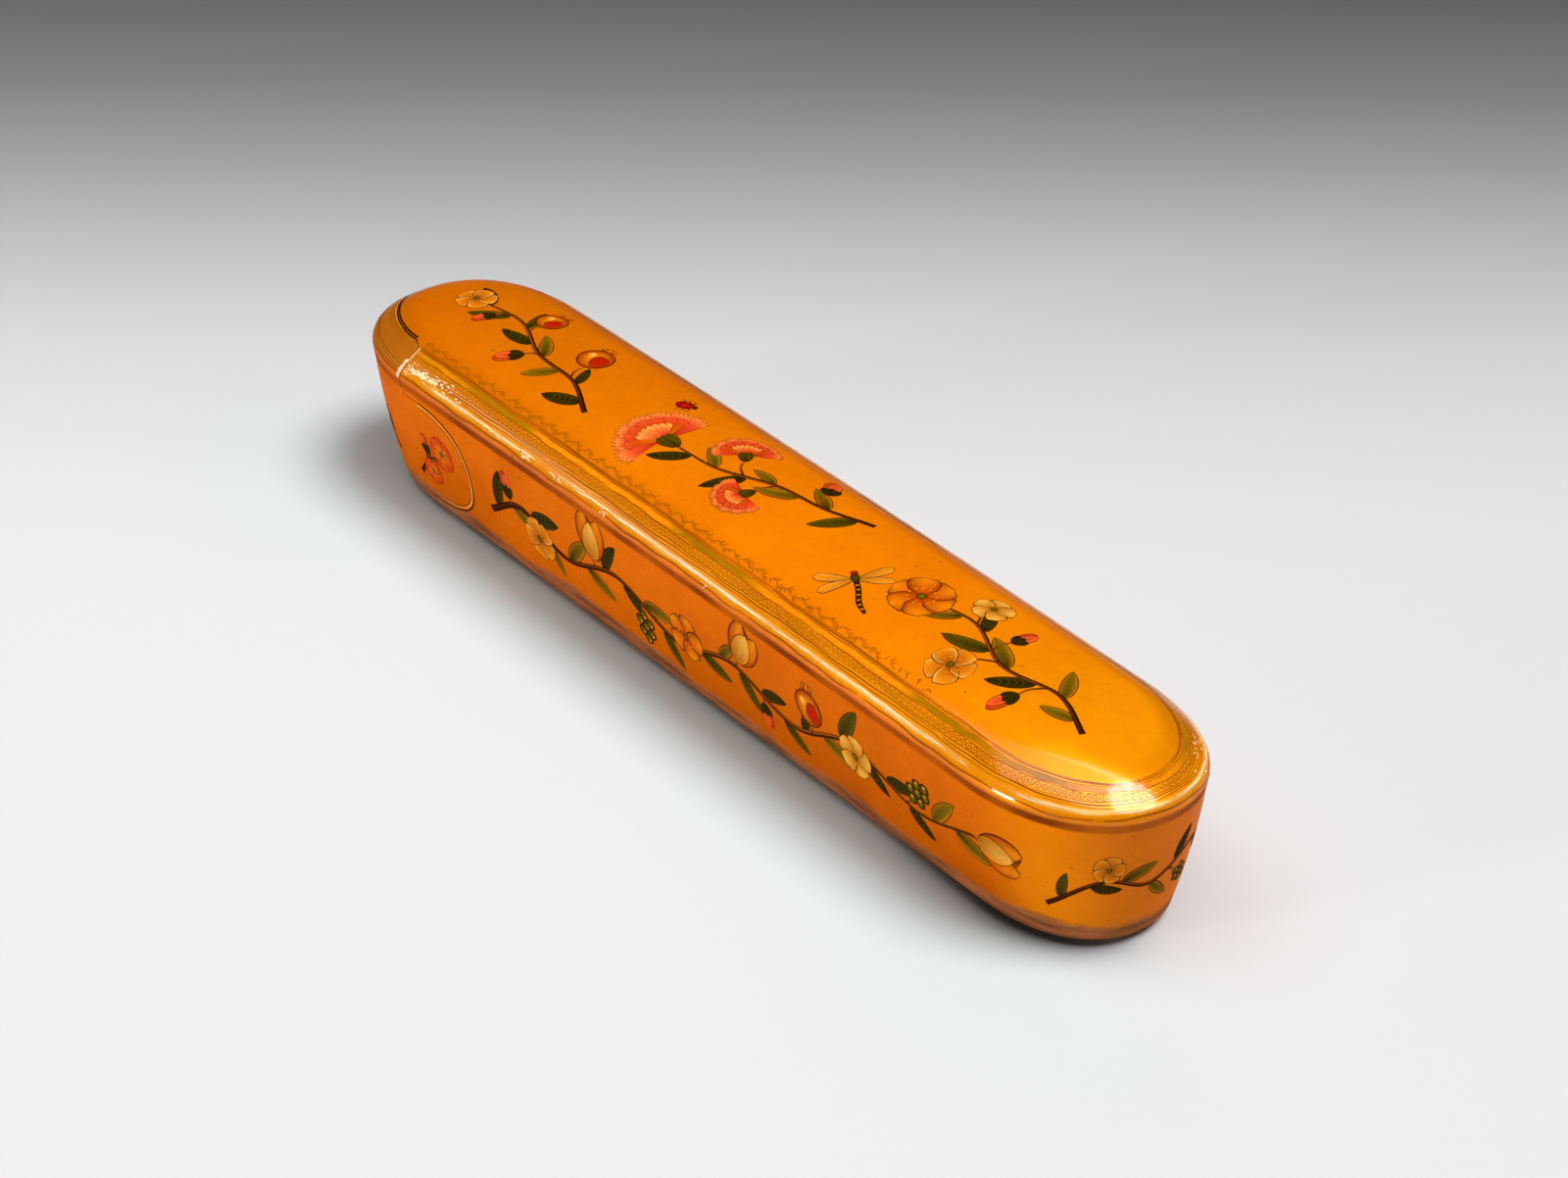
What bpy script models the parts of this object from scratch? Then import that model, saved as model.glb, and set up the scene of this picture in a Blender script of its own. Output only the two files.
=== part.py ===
"""Lacquered papier-mache pen box with a sliding drawer and a brass inkwell.

The long case has rounded ends, walls that draw in towards the base and a roof that is
crowned across its width and arched along its length. A tray slides out of the pull end, at -X.
The tray's end cap is cut from the same shell as the case: a round tongue of the roof lies over
the cap, and a round tab of the cap fills a notch in each side wall. The tray holds an inkwell
with a hinged lid at the pull end, a partition, and a long trough for reed pens.

Metres, +Z up, origin at the centre of the base, drawer closed.
"""

import math

import bmesh
import bpy
from mathutils import Matrix

# Case: outer form
CASE_LENGTH = 0.235
CASE_WIDTH = 0.0445
EDGE_HEIGHT = 0.0340
CROWN_RISE = 0.0070
CROWN_FULLNESS = 3.0
ROOF_ARCH = 0.0009
END_DEPTH = 0.0300
END_ROUNDNESS = 2.16
SIDE_DRAW_IN = 0.0056
END_DRAW_IN = 0.0063
WALL_CURVE = 1.6
BASE_RADIUS = 0.0030
RIDGE_RADIUS = 0.0028

# Shell walls and clearances
CASE_WALL = 0.0026
TRAY_WALL = 0.0018
SLIDE_CLEARANCE = 0.0003
SEAM_GAP = 0.00035
SEAT_GAP = 0.0003
INSIDE_CORNER = 0.0016

# Seam between the case and the drawer's end cap
STEP_FROM_PULL_END = 0.0273
BASE_SEAM_FROM_PULL_END = 0.0315
TAB_REACH = 0.0173
TAB_LOW = 0.0042
TAB_BELOW_EDGE = 0.0065
TAB_ROUNDNESS = 2.5
TONGUE_WIDTH = 0.0310
TONGUE_FLARE = 0.0030
TONGUE_FROM_PULL_END = 0.0026
TONGUE_ROUNDNESS = 1.75

# Tray fittings
PARTITION_FROM_PULL_END = 0.0415
PARTITION_THICKNESS = 0.0018
PARTITION_HEIGHT = 0.0160

# Inkwell
WELL_HEIGHT = 0.0088
WELL_SHEET = 0.0009
PLATE_THICKNESS = 0.0010
MOUTH_FROM_PARTITION = 0.0190
MOUTH_RADIUS = 0.0055
NECK_WALL = 0.0009
NECK_HEIGHT = 0.0015
LID_OVERHANG = 0.0006
LID_THICKNESS = 0.0010
LID_DOME = 0.0012
KNOB_RADIUS = 0.0011
KNOB_FROM_RIM = 0.0028
KNUCKLE_RADIUS = 0.0018
KNUCKLE_LENGTH = 0.0050
LUG_THICKNESS = 0.0022
PIN_RADIUS = 0.00070
PIN_CLEARANCE = 0.00025
PIN_OVERHANG = 0.0004
WAD_LENGTH = 0.0230
WAD_WIDTH = 0.0200
WAD_HEIGHT = 0.0052

# Mesh density
END_STEPS = 16
SIDE_STEPS = 8
ROUND_STEPS = 4
WALL_STEPS = 4
ROOF_STEPS = 7
CURVE_STEPS = 20
CIRCLE_STEPS = 32
PIN_STEPS = 16
BEYOND = 0.010

# Places worked out from the sizes above
HALF_LENGTH = CASE_LENGTH / 2
HALF_WIDTH = CASE_WIDTH / 2
STRAIGHT = HALF_LENGTH - END_DEPTH
LOWEST_EDGE = EDGE_HEIGHT - ROOF_ARCH
RIDGE_TURN = math.atan2(HALF_WIDTH, CROWN_FULLNESS * CROWN_RISE)
RIDGE_INSET = RIDGE_RADIUS * (1 - math.cos(RIDGE_TURN))
RIDGE_DROP = RIDGE_RADIUS * (1 - math.sin(RIDGE_TURN))
TRAY_OFFSET = CASE_WALL + SLIDE_CLEARANCE
TRAY_INSIDE = TRAY_OFFSET + TRAY_WALL
INSIDE_WALL_TOP = LOWEST_EDGE - CASE_WALL - RIDGE_RADIUS
TRAY_RIM = INSIDE_WALL_TOP - SLIDE_CLEARANCE
TONGUE_LOW = INSIDE_WALL_TOP + SEAM_GAP
STEP_X = STEP_FROM_PULL_END - HALF_LENGTH
BASE_SEAM_X = BASE_SEAM_FROM_PULL_END - HALF_LENGTH
TAB_HIGH = EDGE_HEIGHT - TAB_BELOW_EDGE
TONGUE_ROOT_X = STEP_X - TONGUE_FLARE
TONGUE_REACH = TONGUE_ROOT_X + HALF_LENGTH - TONGUE_FROM_PULL_END
PARTITION_X = PARTITION_FROM_PULL_END - HALF_LENGTH
WELL_OFFSET = TRAY_INSIDE + SEAT_GAP
WELL_RIM = WELL_OFFSET + WELL_HEIGHT
WELL_SIDE_X = PARTITION_X - SEAT_GAP
PLATE_LOW = WELL_RIM + SEAT_GAP
PLATE_TOP = PLATE_LOW + PLATE_THICKNESS
NECK_TOP = PLATE_TOP + NECK_HEIGHT
MOUTH_X = PARTITION_X - MOUTH_FROM_PARTITION
NECK_RADIUS = MOUTH_RADIUS + NECK_WALL
LID_RADIUS = NECK_RADIUS + LID_OVERHANG
LID_LOW = NECK_TOP + SEAT_GAP
HINGE_X = MOUTH_X + LID_RADIUS + KNUCKLE_RADIUS + SEAT_GAP
HINGE_Z = LID_LOW + LID_THICKNESS / 2

LACQUER = ("amber_lacquer", (0.86, 0.30, 0.02), 0.22, 0.0)
TRAY_LACQUER = ("red_brown_lacquer", (0.34, 0.07, 0.02), 0.30, 0.0)
BRASS = ("brass", (0.72, 0.50, 0.18), 0.30, 1.0)
SILK = ("inked_silk", (0.03, 0.028, 0.026), 0.85, 0.0)


def clear_scene():
    for old in list(bpy.data.objects):
        bpy.data.objects.remove(old, do_unlink=True)


def new_collection(name):
    made = bpy.data.collections.new(name)
    bpy.context.scene.collection.children.link(made)
    return made


def material_for(name, colour, roughness, metallic):
    found = bpy.data.materials.get(name)
    if found:
        return found
    made = bpy.data.materials.new(name)
    made.use_nodes = True
    shader = made.node_tree.nodes["Principled BSDF"]
    shader.inputs["Base Color"].default_value = (*colour, 1.0)
    shader.inputs["Roughness"].default_value = roughness
    shader.inputs["Metallic"].default_value = metallic
    return made


def finish_part(obj, finish):
    """Puts an object in the parts' collection and gives it its material and smooth shading."""
    PARTS.objects.link(obj)
    obj.data.materials.append(material_for(*finish))
    obj.data.shade_smooth()
    obj.data.set_sharp_from_angle(angle=math.radians(35))
    return obj


def as_cutter(obj):
    """Puts an object among the cutters, which aren't part of the model."""
    CUTTERS.objects.link(obj)
    obj.hide_render = True
    obj.display_type = "WIRE"
    return obj


def boolean(obj, other, operation):
    modifier = obj.modifiers.new(f"{operation.lower()} {other.name}", "BOOLEAN")
    modifier.operation = operation
    modifier.object = other
    return obj


def object_from(name, mesh_builder):
    """Makes an unlinked mesh object from a bmesh with its faces turned outwards."""
    bmesh.ops.recalc_face_normals(mesh_builder, faces=mesh_builder.faces)
    mesh = bpy.data.meshes.new(name)
    mesh_builder.to_mesh(mesh)
    mesh_builder.free()
    return bpy.data.objects.new(name, mesh)


# Plan outline of the case

def rounded(angle, roundness):
    """A superellipse's unit point at an angle: roundness 2 is an ellipse, and more is squarer."""
    c, s = math.cos(angle), math.sin(angle)
    power = 2 / roundness
    return math.copysign(abs(c) ** power, c), math.copysign(abs(s) ** power, s)


def plan_rails():
    """The outline as rails: where a point's end arc is centred, and its unit place on that arc."""
    rails = []
    for side in (1, -1):
        for i in range(END_STEPS):
            along, across = rounded(math.pi * (i / END_STEPS - 0.5), END_ROUNDNESS)
            rails.append((side * STRAIGHT, side * along, side * across))
        for i in range(SIDE_STEPS):
            rails.append((side * STRAIGHT * (1 - 2 * i / SIDE_STEPS), 0.0, side))
    return rails


def draw_in(z):
    """How far the side and end walls stand inside the outline at a height."""
    share = max(0.0, 1 - z / EDGE_HEIGHT) ** WALL_CURVE
    return SIDE_DRAW_IN * share, END_DRAW_IN * share


def wall_ring(z, inset):
    """The outline at a height, drawn in as the walls are and moved inwards by inset."""
    side, end = draw_in(z)
    depth, half = END_DEPTH - end - inset, HALF_WIDTH - side - inset
    return [(x + along * depth, across * half, z) for x, along, across in plan_rails()]


def edge_z(x):
    """Height of the roof's edge, which falls from mid-length towards both ends."""
    return EDGE_HEIGHT - ROOF_ARCH * (x / HALF_LENGTH) ** 2


def roof_ring(inset, drop, share, rise):
    """A ring of the roof: the outline moved in by inset and shrunk to a share, under the crown."""
    ring = []
    for x, along, across in plan_rails():
        px = x + along * (END_DEPTH - inset) * share
        ring.append((px, across * (HALF_WIDTH - inset) * share, edge_z(px) - drop + rise))
    return ring


def base_rings(offset, radius):
    """Rings round the base's rounded edge, from the flat floor up to the wall."""
    rings = []
    for i in range(ROUND_STEPS + 1):
        angle = math.pi / 2 * i / ROUND_STEPS
        z = offset + radius * (1 - math.cos(angle))
        rings.append(wall_ring(z, offset + radius * (1 - math.sin(angle))))
    return rings


def trough_rings(offset, top, radius):
    """Rings of the body up to a level top: base edge, then walls."""
    rings = base_rings(offset, radius)
    low = offset + radius
    for i in range(1, WALL_STEPS + 1):
        rings.append(wall_ring(low + (top - low) * i / WALL_STEPS, offset))
    return rings


def body_rings(offset, base_radius):
    """Rings of the whole body: base edge, walls, and a rounded ridge that runs into the crowned roof."""
    rings = trough_rings(offset, INSIDE_WALL_TOP, base_radius)
    for i in range(ROUND_STEPS):
        angle = RIDGE_TURN * i / ROUND_STEPS
        inset = offset + RIDGE_RADIUS * (1 - math.cos(angle))
        rings.append(roof_ring(inset, offset + RIDGE_RADIUS * (1 - math.sin(angle)), 1.0, 0.0))
    for i in range(ROOF_STEPS + 1):
        share = 1 - i / ROOF_STEPS
        rise = CROWN_RISE * (1 - share ** CROWN_FULLNESS)
        rings.append(roof_ring(offset + RIDGE_INSET, offset + RIDGE_DROP, share, rise))
    return rings


def loft(name, rings):
    """A closed solid through rings of equal count. A last ring that collapses closes by itself."""
    builder = bmesh.new()
    loops = [[builder.verts.new(point) for point in ring] for ring in rings]
    count = len(loops[0])
    for lower, upper in zip(loops, loops[1:]):
        for i in range(count):
            j = (i + 1) % count
            builder.faces.new((lower[i], lower[j], upper[j], upper[i]))
    builder.faces.new(loops[0][::-1])
    spread = max(abs(vertex.co.y) for vertex in loops[-1])
    if spread > SEAT_GAP:
        builder.faces.new(loops[-1])
    bmesh.ops.remove_doubles(builder, verts=builder.verts, dist=1e-6)
    return object_from(name, builder)


# Plain solids

def box(name, low, high):
    builder = bmesh.new()
    size = [b - a for a, b in zip(low, high)]
    middle = [(a + b) / 2 for a, b in zip(low, high)]
    place = Matrix.Translation(middle) @ Matrix.Diagonal((*size, 1.0))
    bmesh.ops.create_cube(builder, size=1.0, matrix=place)
    return object_from(name, builder)


def cylinder(name, centre, radius, length, axis, steps):
    builder = bmesh.new()
    turn = Matrix.Rotation(math.pi / 2, 4, "X") if axis == "Y" else Matrix.Identity(4)
    bmesh.ops.create_cone(
        builder,
        cap_ends=True,
        segments=steps,
        radius1=radius,
        radius2=radius,
        depth=length,
        matrix=Matrix.Translation(centre) @ turn,
    )
    return object_from(name, builder)


def prism(name, outline, low, high, upright):
    """A flat outline made thick: in X and Y from low to high or, upright, in X and Z along Y."""
    curve = bpy.data.curves.new(name, "CURVE")
    curve.dimensions = "2D"
    curve.fill_mode = "BOTH"
    curve.extrude = (high - low) / 2
    spline = curve.splines.new("POLY")
    spline.points.add(len(outline) - 1)
    for point, (x, y) in zip(spline.points, outline):
        point.co = (x, y, 0.0, 1.0)
    spline.use_cyclic_u = True
    drawn = bpy.data.objects.new(name, curve)
    middle = (low + high) / 2
    drawn.matrix_world = Matrix.Translation((0, 0, middle))
    if upright:
        drawn.matrix_world = Matrix.Translation((0, middle, 0)) @ Matrix.Rotation(math.pi / 2, 4, "X")
    bpy.context.scene.collection.objects.link(drawn)
    bpy.context.view_layer.update()
    graph = bpy.context.evaluated_depsgraph_get()
    mesh = bpy.data.meshes.new_from_object(drawn.evaluated_get(graph))
    builder = bmesh.new()
    builder.from_mesh(mesh)
    bmesh.ops.remove_doubles(builder, verts=builder.verts, dist=1e-6)
    solid = object_from(name, builder)
    solid.matrix_world = drawn.matrix_world.copy()
    bpy.data.objects.remove(drawn)
    return solid


# Seam between case and end cap

def seam_outline(gap):
    """The end cap's share seen from the side: the end of the box and the round tab, grown by gap."""
    beyond = -HALF_LENGTH - BEYOND
    high = EDGE_HEIGHT + CROWN_RISE + BEYOND
    middle, half = (TAB_LOW + TAB_HIGH) / 2, (TAB_HIGH - TAB_LOW) / 2 + gap
    outline = [(beyond, -BEYOND), (BASE_SEAM_X + gap, -BEYOND)]
    for i in range(CURVE_STEPS + 1):
        along, across = rounded(math.pi * (i / CURVE_STEPS - 0.5), TAB_ROUNDNESS)
        outline.append((BASE_SEAM_X + gap + along * TAB_REACH, middle + across * half))
    outline += [(STEP_X + gap, TAB_HIGH + gap), (STEP_X + gap, high), (beyond, high)]
    return outline


def tongue_outline(gap):
    """The roof's tongue seen from above, from the flare at its root to its round tip, grown by gap."""
    flare = HALF_WIDTH - CASE_WALL - RIDGE_RADIUS
    half = TONGUE_WIDTH / 2 + gap
    outline = [(STEP_X + BEYOND, flare), (STEP_X, flare)]
    for i in range(CURVE_STEPS + 1):
        along, across = rounded(math.pi * (i / CURVE_STEPS - 0.5), TONGUE_ROUNDNESS)
        outline.append((TONGUE_ROOT_X - along * (TONGUE_REACH + gap), -across * half))
    return outline + [(STEP_X, -flare), (STEP_X + BEYOND, -flare)]


def end_share(name, tab_gap, tongue_gap):
    """The space that the end cap takes from the shell: the seam's end of the box less the tongue."""
    reach = HALF_WIDTH + BEYOND
    share = as_cutter(prism(name, seam_outline(tab_gap), -reach, reach, upright=True))
    above = EDGE_HEIGHT + CROWN_RISE + BEYOND * 2
    tongue = prism(f"{name}_tongue", tongue_outline(tongue_gap), TONGUE_LOW, above, upright=False)
    return boolean(share, as_cutter(tongue), "DIFFERENCE")


# Papier-mache pieces

def make_case_sleeve():
    sleeve = finish_part(loft("case_sleeve", body_rings(0.0, BASE_RADIUS)), LACQUER)
    hollow = as_cutter(loft("case_hollow", body_rings(CASE_WALL, INSIDE_CORNER)))
    boolean(sleeve, hollow, "DIFFERENCE")
    return boolean(sleeve, end_share("case_end_cut", SEAM_GAP, 0.0), "DIFFERENCE")


def make_drawer_end_cap():
    cap = finish_part(loft("drawer_end_cap", body_rings(0.0, BASE_RADIUS)), LACQUER)
    hollow = as_cutter(loft("cap_hollow", body_rings(CASE_WALL, INSIDE_CORNER)))
    boolean(cap, hollow, "DIFFERENCE")
    return boolean(cap, end_share("cap_share", 0.0, SEAM_GAP), "INTERSECT")


def make_drawer_tray():
    tray = loft("drawer_tray", trough_rings(TRAY_OFFSET, TRAY_RIM, INSIDE_CORNER))
    trough = as_cutter(loft("tray_trough", trough_rings(TRAY_INSIDE, TRAY_RIM + BEYOND, INSIDE_CORNER)))
    return boolean(finish_part(tray, TRAY_LACQUER), trough, "DIFFERENCE")


def make_tray_partition():
    inside = TRAY_INSIDE + SEAT_GAP
    plate = loft("tray_partition", trough_rings(inside, inside + PARTITION_HEIGHT, INSIDE_CORNER))
    slice_low = (PARTITION_X, -HALF_WIDTH, 0.0)
    slice_high = (PARTITION_X + PARTITION_THICKNESS, HALF_WIDTH, EDGE_HEIGHT)
    slab = as_cutter(box("partition_slab", slice_low, slice_high))
    return boolean(finish_part(plate, TRAY_LACQUER), slab, "INTERSECT")


# Inkwell

def well_side(name, x):
    """The space past the inkwell's flat side, which is cut away."""
    return as_cutter(box(name, (x, -HALF_WIDTH, -BEYOND), (HALF_LENGTH, HALF_WIDTH, EDGE_HEIGHT)))


def make_inkwell_cup():
    cup = loft("inkwell_cup", trough_rings(WELL_OFFSET, WELL_RIM, INSIDE_CORNER))
    boolean(finish_part(cup, BRASS), well_side("cup_side", WELL_SIDE_X), "DIFFERENCE")
    inside = WELL_OFFSET + WELL_SHEET
    hollow = as_cutter(loft("cup_hollow", trough_rings(inside, WELL_RIM + BEYOND, INSIDE_CORNER)))
    boolean(hollow, well_side("cup_hollow_side", WELL_SIDE_X - WELL_SHEET), "DIFFERENCE")
    return boolean(cup, hollow, "DIFFERENCE")


def hinge_lug(name, y):
    """A hinge lug seen from the side: a foot set into the plate, under a round eye."""
    foot = PLATE_LOW + PLATE_THICKNESS / 2
    outline = [(HINGE_X - KNUCKLE_RADIUS, foot), (HINGE_X + KNUCKLE_RADIUS, foot)]
    for i in range(PIN_STEPS + 1):
        angle = math.pi * i / PIN_STEPS
        x, z = KNUCKLE_RADIUS * math.cos(angle), KNUCKLE_RADIUS * math.sin(angle)
        outline.append((HINGE_X + x, HINGE_Z + z))
    half = LUG_THICKNESS / 2
    return as_cutter(prism(name, outline, y - half, y + half, upright=True))


def make_inkwell_plate():
    plate = loft("inkwell_plate", [wall_ring(z, WELL_OFFSET) for z in (PLATE_LOW, PLATE_TOP)])
    boolean(finish_part(plate, BRASS), well_side("plate_side", WELL_SIDE_X), "DIFFERENCE")
    neck_low = PLATE_LOW + PLATE_THICKNESS / 2
    centre = (MOUTH_X, 0, (neck_low + NECK_TOP) / 2)
    length = NECK_TOP - neck_low
    neck = cylinder("plate_neck", centre, NECK_RADIUS, length, "Z", CIRCLE_STEPS)
    boolean(plate, as_cutter(neck), "UNION")
    mouth = cylinder("plate_mouth", centre, MOUTH_RADIUS, length + BEYOND, "Z", CIRCLE_STEPS)
    boolean(plate, as_cutter(mouth), "DIFFERENCE")
    for side in (-1, 1):
        y = side * (KNUCKLE_LENGTH / 2 + SEAT_GAP + LUG_THICKNESS / 2)
        boolean(plate, hinge_lug(f"hinge_lug_{side}", y), "UNION")
    return boolean(plate, pin_hole("plate_pin_hole"), "DIFFERENCE")


def pin_length():
    return KNUCKLE_LENGTH + 2 * (SEAT_GAP + LUG_THICKNESS + PIN_OVERHANG)


def pin_hole(name):
    radius = PIN_RADIUS + PIN_CLEARANCE
    return as_cutter(cylinder(name, (HINGE_X, 0, HINGE_Z), radius, pin_length() * 2, "Y", PIN_STEPS))


def make_inkwell_hinge_pin():
    pin = cylinder("inkwell_hinge_pin", (HINGE_X, 0, HINGE_Z), PIN_RADIUS, pin_length(), "Y", PIN_STEPS)
    return finish_part(pin, BRASS)


def lid_profile():
    """Half of the lid's section, from the middle of its dome out and round to its underside."""
    top = LID_LOW + LID_THICKNESS
    points = []
    for i in range(ROOF_STEPS + 1):
        share = i / ROOF_STEPS
        points.append((LID_RADIUS * share, top + LID_DOME * (1 - share ** 2)))
    return points + [(LID_RADIUS, LID_LOW), (0.0, LID_LOW)]


def make_inkwell_lid():
    """The lid turns about the hinge pin, so its origin is on that axis."""
    builder = bmesh.new()
    chain = [builder.verts.new((x, 0, z)) for x, z in lid_profile()]
    for a, b in zip(chain, chain[1:]):
        builder.edges.new((a, b))
    turned = builder.verts[:] + builder.edges[:]
    about = {"cent": (0, 0, 0), "axis": (0, 0, 1)}
    bmesh.ops.spin(builder, geom=turned, **about, angle=math.tau, steps=CIRCLE_STEPS)
    bmesh.ops.remove_doubles(builder, verts=builder.verts, dist=1e-6)
    bmesh.ops.translate(builder, verts=builder.verts, vec=(MOUTH_X, 0, 0))
    lid = finish_part(object_from("inkwell_lid", builder), BRASS)
    barrel = cylinder("lid_barrel", (HINGE_X, 0, HINGE_Z), KNUCKLE_RADIUS, KNUCKLE_LENGTH, "Y", PIN_STEPS)
    half = KNUCKLE_LENGTH / 2
    low, high = (MOUTH_X + LID_RADIUS / 2, -half, LID_LOW), (HINGE_X, half, LID_LOW + LID_THICKNESS)
    boolean(lid, as_cutter(box("lid_strap", low, high)), "UNION")
    boolean(lid, as_cutter(barrel), "UNION")
    boolean(lid, lid_knob(), "UNION")
    boolean(lid, pin_hole("lid_pin_hole"), "DIFFERENCE")
    to_hinge = Matrix.Translation((HINGE_X, 0, HINGE_Z))
    lid.data.transform(to_hinge.inverted())
    lid.location = to_hinge.translation
    return lid


def lid_knob():
    """A ball set into the dome near the edge that lifts."""
    from_middle = LID_RADIUS - KNOB_FROM_RIM
    dome = LID_LOW + LID_THICKNESS + LID_DOME * (1 - (from_middle / LID_RADIUS) ** 2)
    builder = bmesh.new()
    place = Matrix.Translation((MOUTH_X - from_middle, 0, dome + KNOB_RADIUS / 2))
    steps = {"u_segments": PIN_STEPS, "v_segments": PIN_STEPS // 2}
    bmesh.ops.create_uvsphere(builder, **steps, radius=KNOB_RADIUS, matrix=place)
    return as_cutter(object_from("lid_knob", builder))


def make_silk_wad():
    """The tuft of silk that holds the ink, pressed into the cup."""
    low = WELL_OFFSET + WELL_SHEET + SEAT_GAP
    builder = bmesh.new()
    bmesh.ops.create_uvsphere(builder, u_segments=20, v_segments=10, radius=0.5)
    size = Matrix.Diagonal((WAD_LENGTH, WAD_WIDTH, WAD_HEIGHT, 1.0))
    place = Matrix.Translation((MOUTH_X, 0, low + WAD_HEIGHT / 2))
    bmesh.ops.transform(builder, matrix=place @ size, verts=builder.verts)
    return finish_part(object_from("silk_wad", builder), SILK)


def main():
    make_case_sleeve()
    drawer = [
        make_drawer_end_cap(),
        make_drawer_tray(),
        make_tray_partition(),
        make_inkwell_cup(),
        make_inkwell_plate(),
        make_inkwell_hinge_pin(),
        make_silk_wad(),
        make_inkwell_lid(),
    ]
    slide = bpy.data.objects.new("drawer_slide", None)
    PARTS.objects.link(slide)
    for piece in drawer:
        piece.parent = slide


clear_scene()
PARTS = new_collection("pen_box")
CUTTERS = new_collection("pen_box_cutters")
main()
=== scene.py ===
"""Dresses the lacquered pen box: fine shells, gilt border, painted sprays, wear, tray and inkwell.

The shells repeat the form of the solids at a finer step, so that the varnish mirrors the lamps
without facets. Paint and gilding are thin shapes laid on that form. Lengths here are millimetres
unless a name says otherwise, and they become metres where a mesh is made.
"""

from __future__ import annotations

import logging
import math
from dataclasses import dataclass, field, replace
from enum import Enum, IntEnum
from typing import Iterator, Sequence

import bmesh
import bpy
import numpy as np
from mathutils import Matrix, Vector

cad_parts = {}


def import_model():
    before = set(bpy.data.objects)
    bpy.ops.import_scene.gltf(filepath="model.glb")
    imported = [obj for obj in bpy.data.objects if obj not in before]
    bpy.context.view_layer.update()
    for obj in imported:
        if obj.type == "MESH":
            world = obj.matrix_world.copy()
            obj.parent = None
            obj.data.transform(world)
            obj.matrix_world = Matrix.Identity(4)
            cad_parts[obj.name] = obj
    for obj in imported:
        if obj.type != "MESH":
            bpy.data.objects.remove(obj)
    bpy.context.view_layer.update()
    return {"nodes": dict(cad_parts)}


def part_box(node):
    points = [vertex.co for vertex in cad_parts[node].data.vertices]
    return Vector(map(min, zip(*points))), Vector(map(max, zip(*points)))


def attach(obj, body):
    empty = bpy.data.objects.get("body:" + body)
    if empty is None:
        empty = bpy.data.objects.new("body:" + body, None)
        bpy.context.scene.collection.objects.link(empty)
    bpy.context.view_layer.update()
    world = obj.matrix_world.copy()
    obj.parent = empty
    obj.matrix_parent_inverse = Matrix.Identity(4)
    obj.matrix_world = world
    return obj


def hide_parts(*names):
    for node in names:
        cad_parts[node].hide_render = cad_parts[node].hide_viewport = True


log = logging.getLogger("pen_box")

MM = 0.001

Array = np.ndarray
Piece = bpy.types.Object
Socket = bpy.types.NodeSocket
Colour = tuple[float, float, float]
Screen = tuple[int, int, int]
Spot = tuple[float, float, float]
Span = tuple[float, float]
Path = Sequence[Span]
Inputs = dict[str | int, object]


class Side(IntEnum):
    """The long sides, by the sign of Y."""

    FRONT = -1
    BACK = 1


class End(IntEnum):
    """The ends, by the sign of X."""

    PULL = -1
    CLOSED = 1


class Cut(Enum):
    """What is left of a piece that another solid cuts."""

    OUTSIDE = "DIFFERENCE"
    INSIDE = "INTERSECT"


class Pigment(Enum):
    """The painter's colours, as they look on a screen, 0 to 255."""

    UMBER = (74, 38, 10)
    DARK_BROWN = (52, 26, 8)
    OLIVE = (84, 82, 14)
    DEEP_OLIVE = (44, 44, 10)
    MOSS = (128, 120, 22)
    STRAW = (214, 158, 40)
    AMBER = (244, 168, 30)
    CREAM = (250, 214, 150)
    RED = (206, 34, 12)
    DEEP_RED = (134, 14, 12)
    PINK = (246, 106, 84)
    SHELL_PINK = (252, 168, 120)
    RUSSET = (158, 58, 14)
    CHESTNUT = (112, 44, 10)
    GOLD = (228, 160, 40)
    PALE_GOLD = (250, 216, 140)
    OLD_GOLD = (180, 116, 18)
    BORDER_LINE = (150, 92, 14)
    FRINGE = (176, 116, 10)
    GREEN_GLAZE = (170, 136, 16)
    GROUND = (244, 214, 166)
    PINK_GROUND = (236, 190, 160)
    # White of flaking varnish painted as glare, also the painted highlight on the ridge.
    FLAKE_GLARE = (255, 226, 186)

    @property
    def linear(self) -> Array:
        """The colour as linear light."""
        return srgb(*self.value)


def srgb(red: float, green: float, blue: float) -> Array:
    """Turns a screen colour into linear light."""
    value = np.array((red, green, blue)) / 255
    return np.where(value <= 0.04045, value / 12.92, ((value + 0.055) / 1.055) ** 2.4)


def smoothstep(low: float, high: float, value: Array) -> Array:
    """Eases from 0 at low to 1 at high."""
    share = np.clip((value - low) / (high - low), 0, 1)
    return share * share * (3 - 2 * share)


def superellipse(angle: Array, roundness: float) -> tuple[Array, Array]:
    """Unit points of a superellipse.

    Args:
        angle: Angles in radians.
        roundness: 2 for an ellipse, more for a squarer curve.

    Returns:
        The two coordinates at each angle.
    """
    power = 2 / roundness
    cosine, sine = np.cos(angle), np.sin(angle)
    return (
        np.sign(cosine) * np.abs(cosine) ** power,
        np.sign(sine) * np.abs(sine) ** power,
    )


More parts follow.
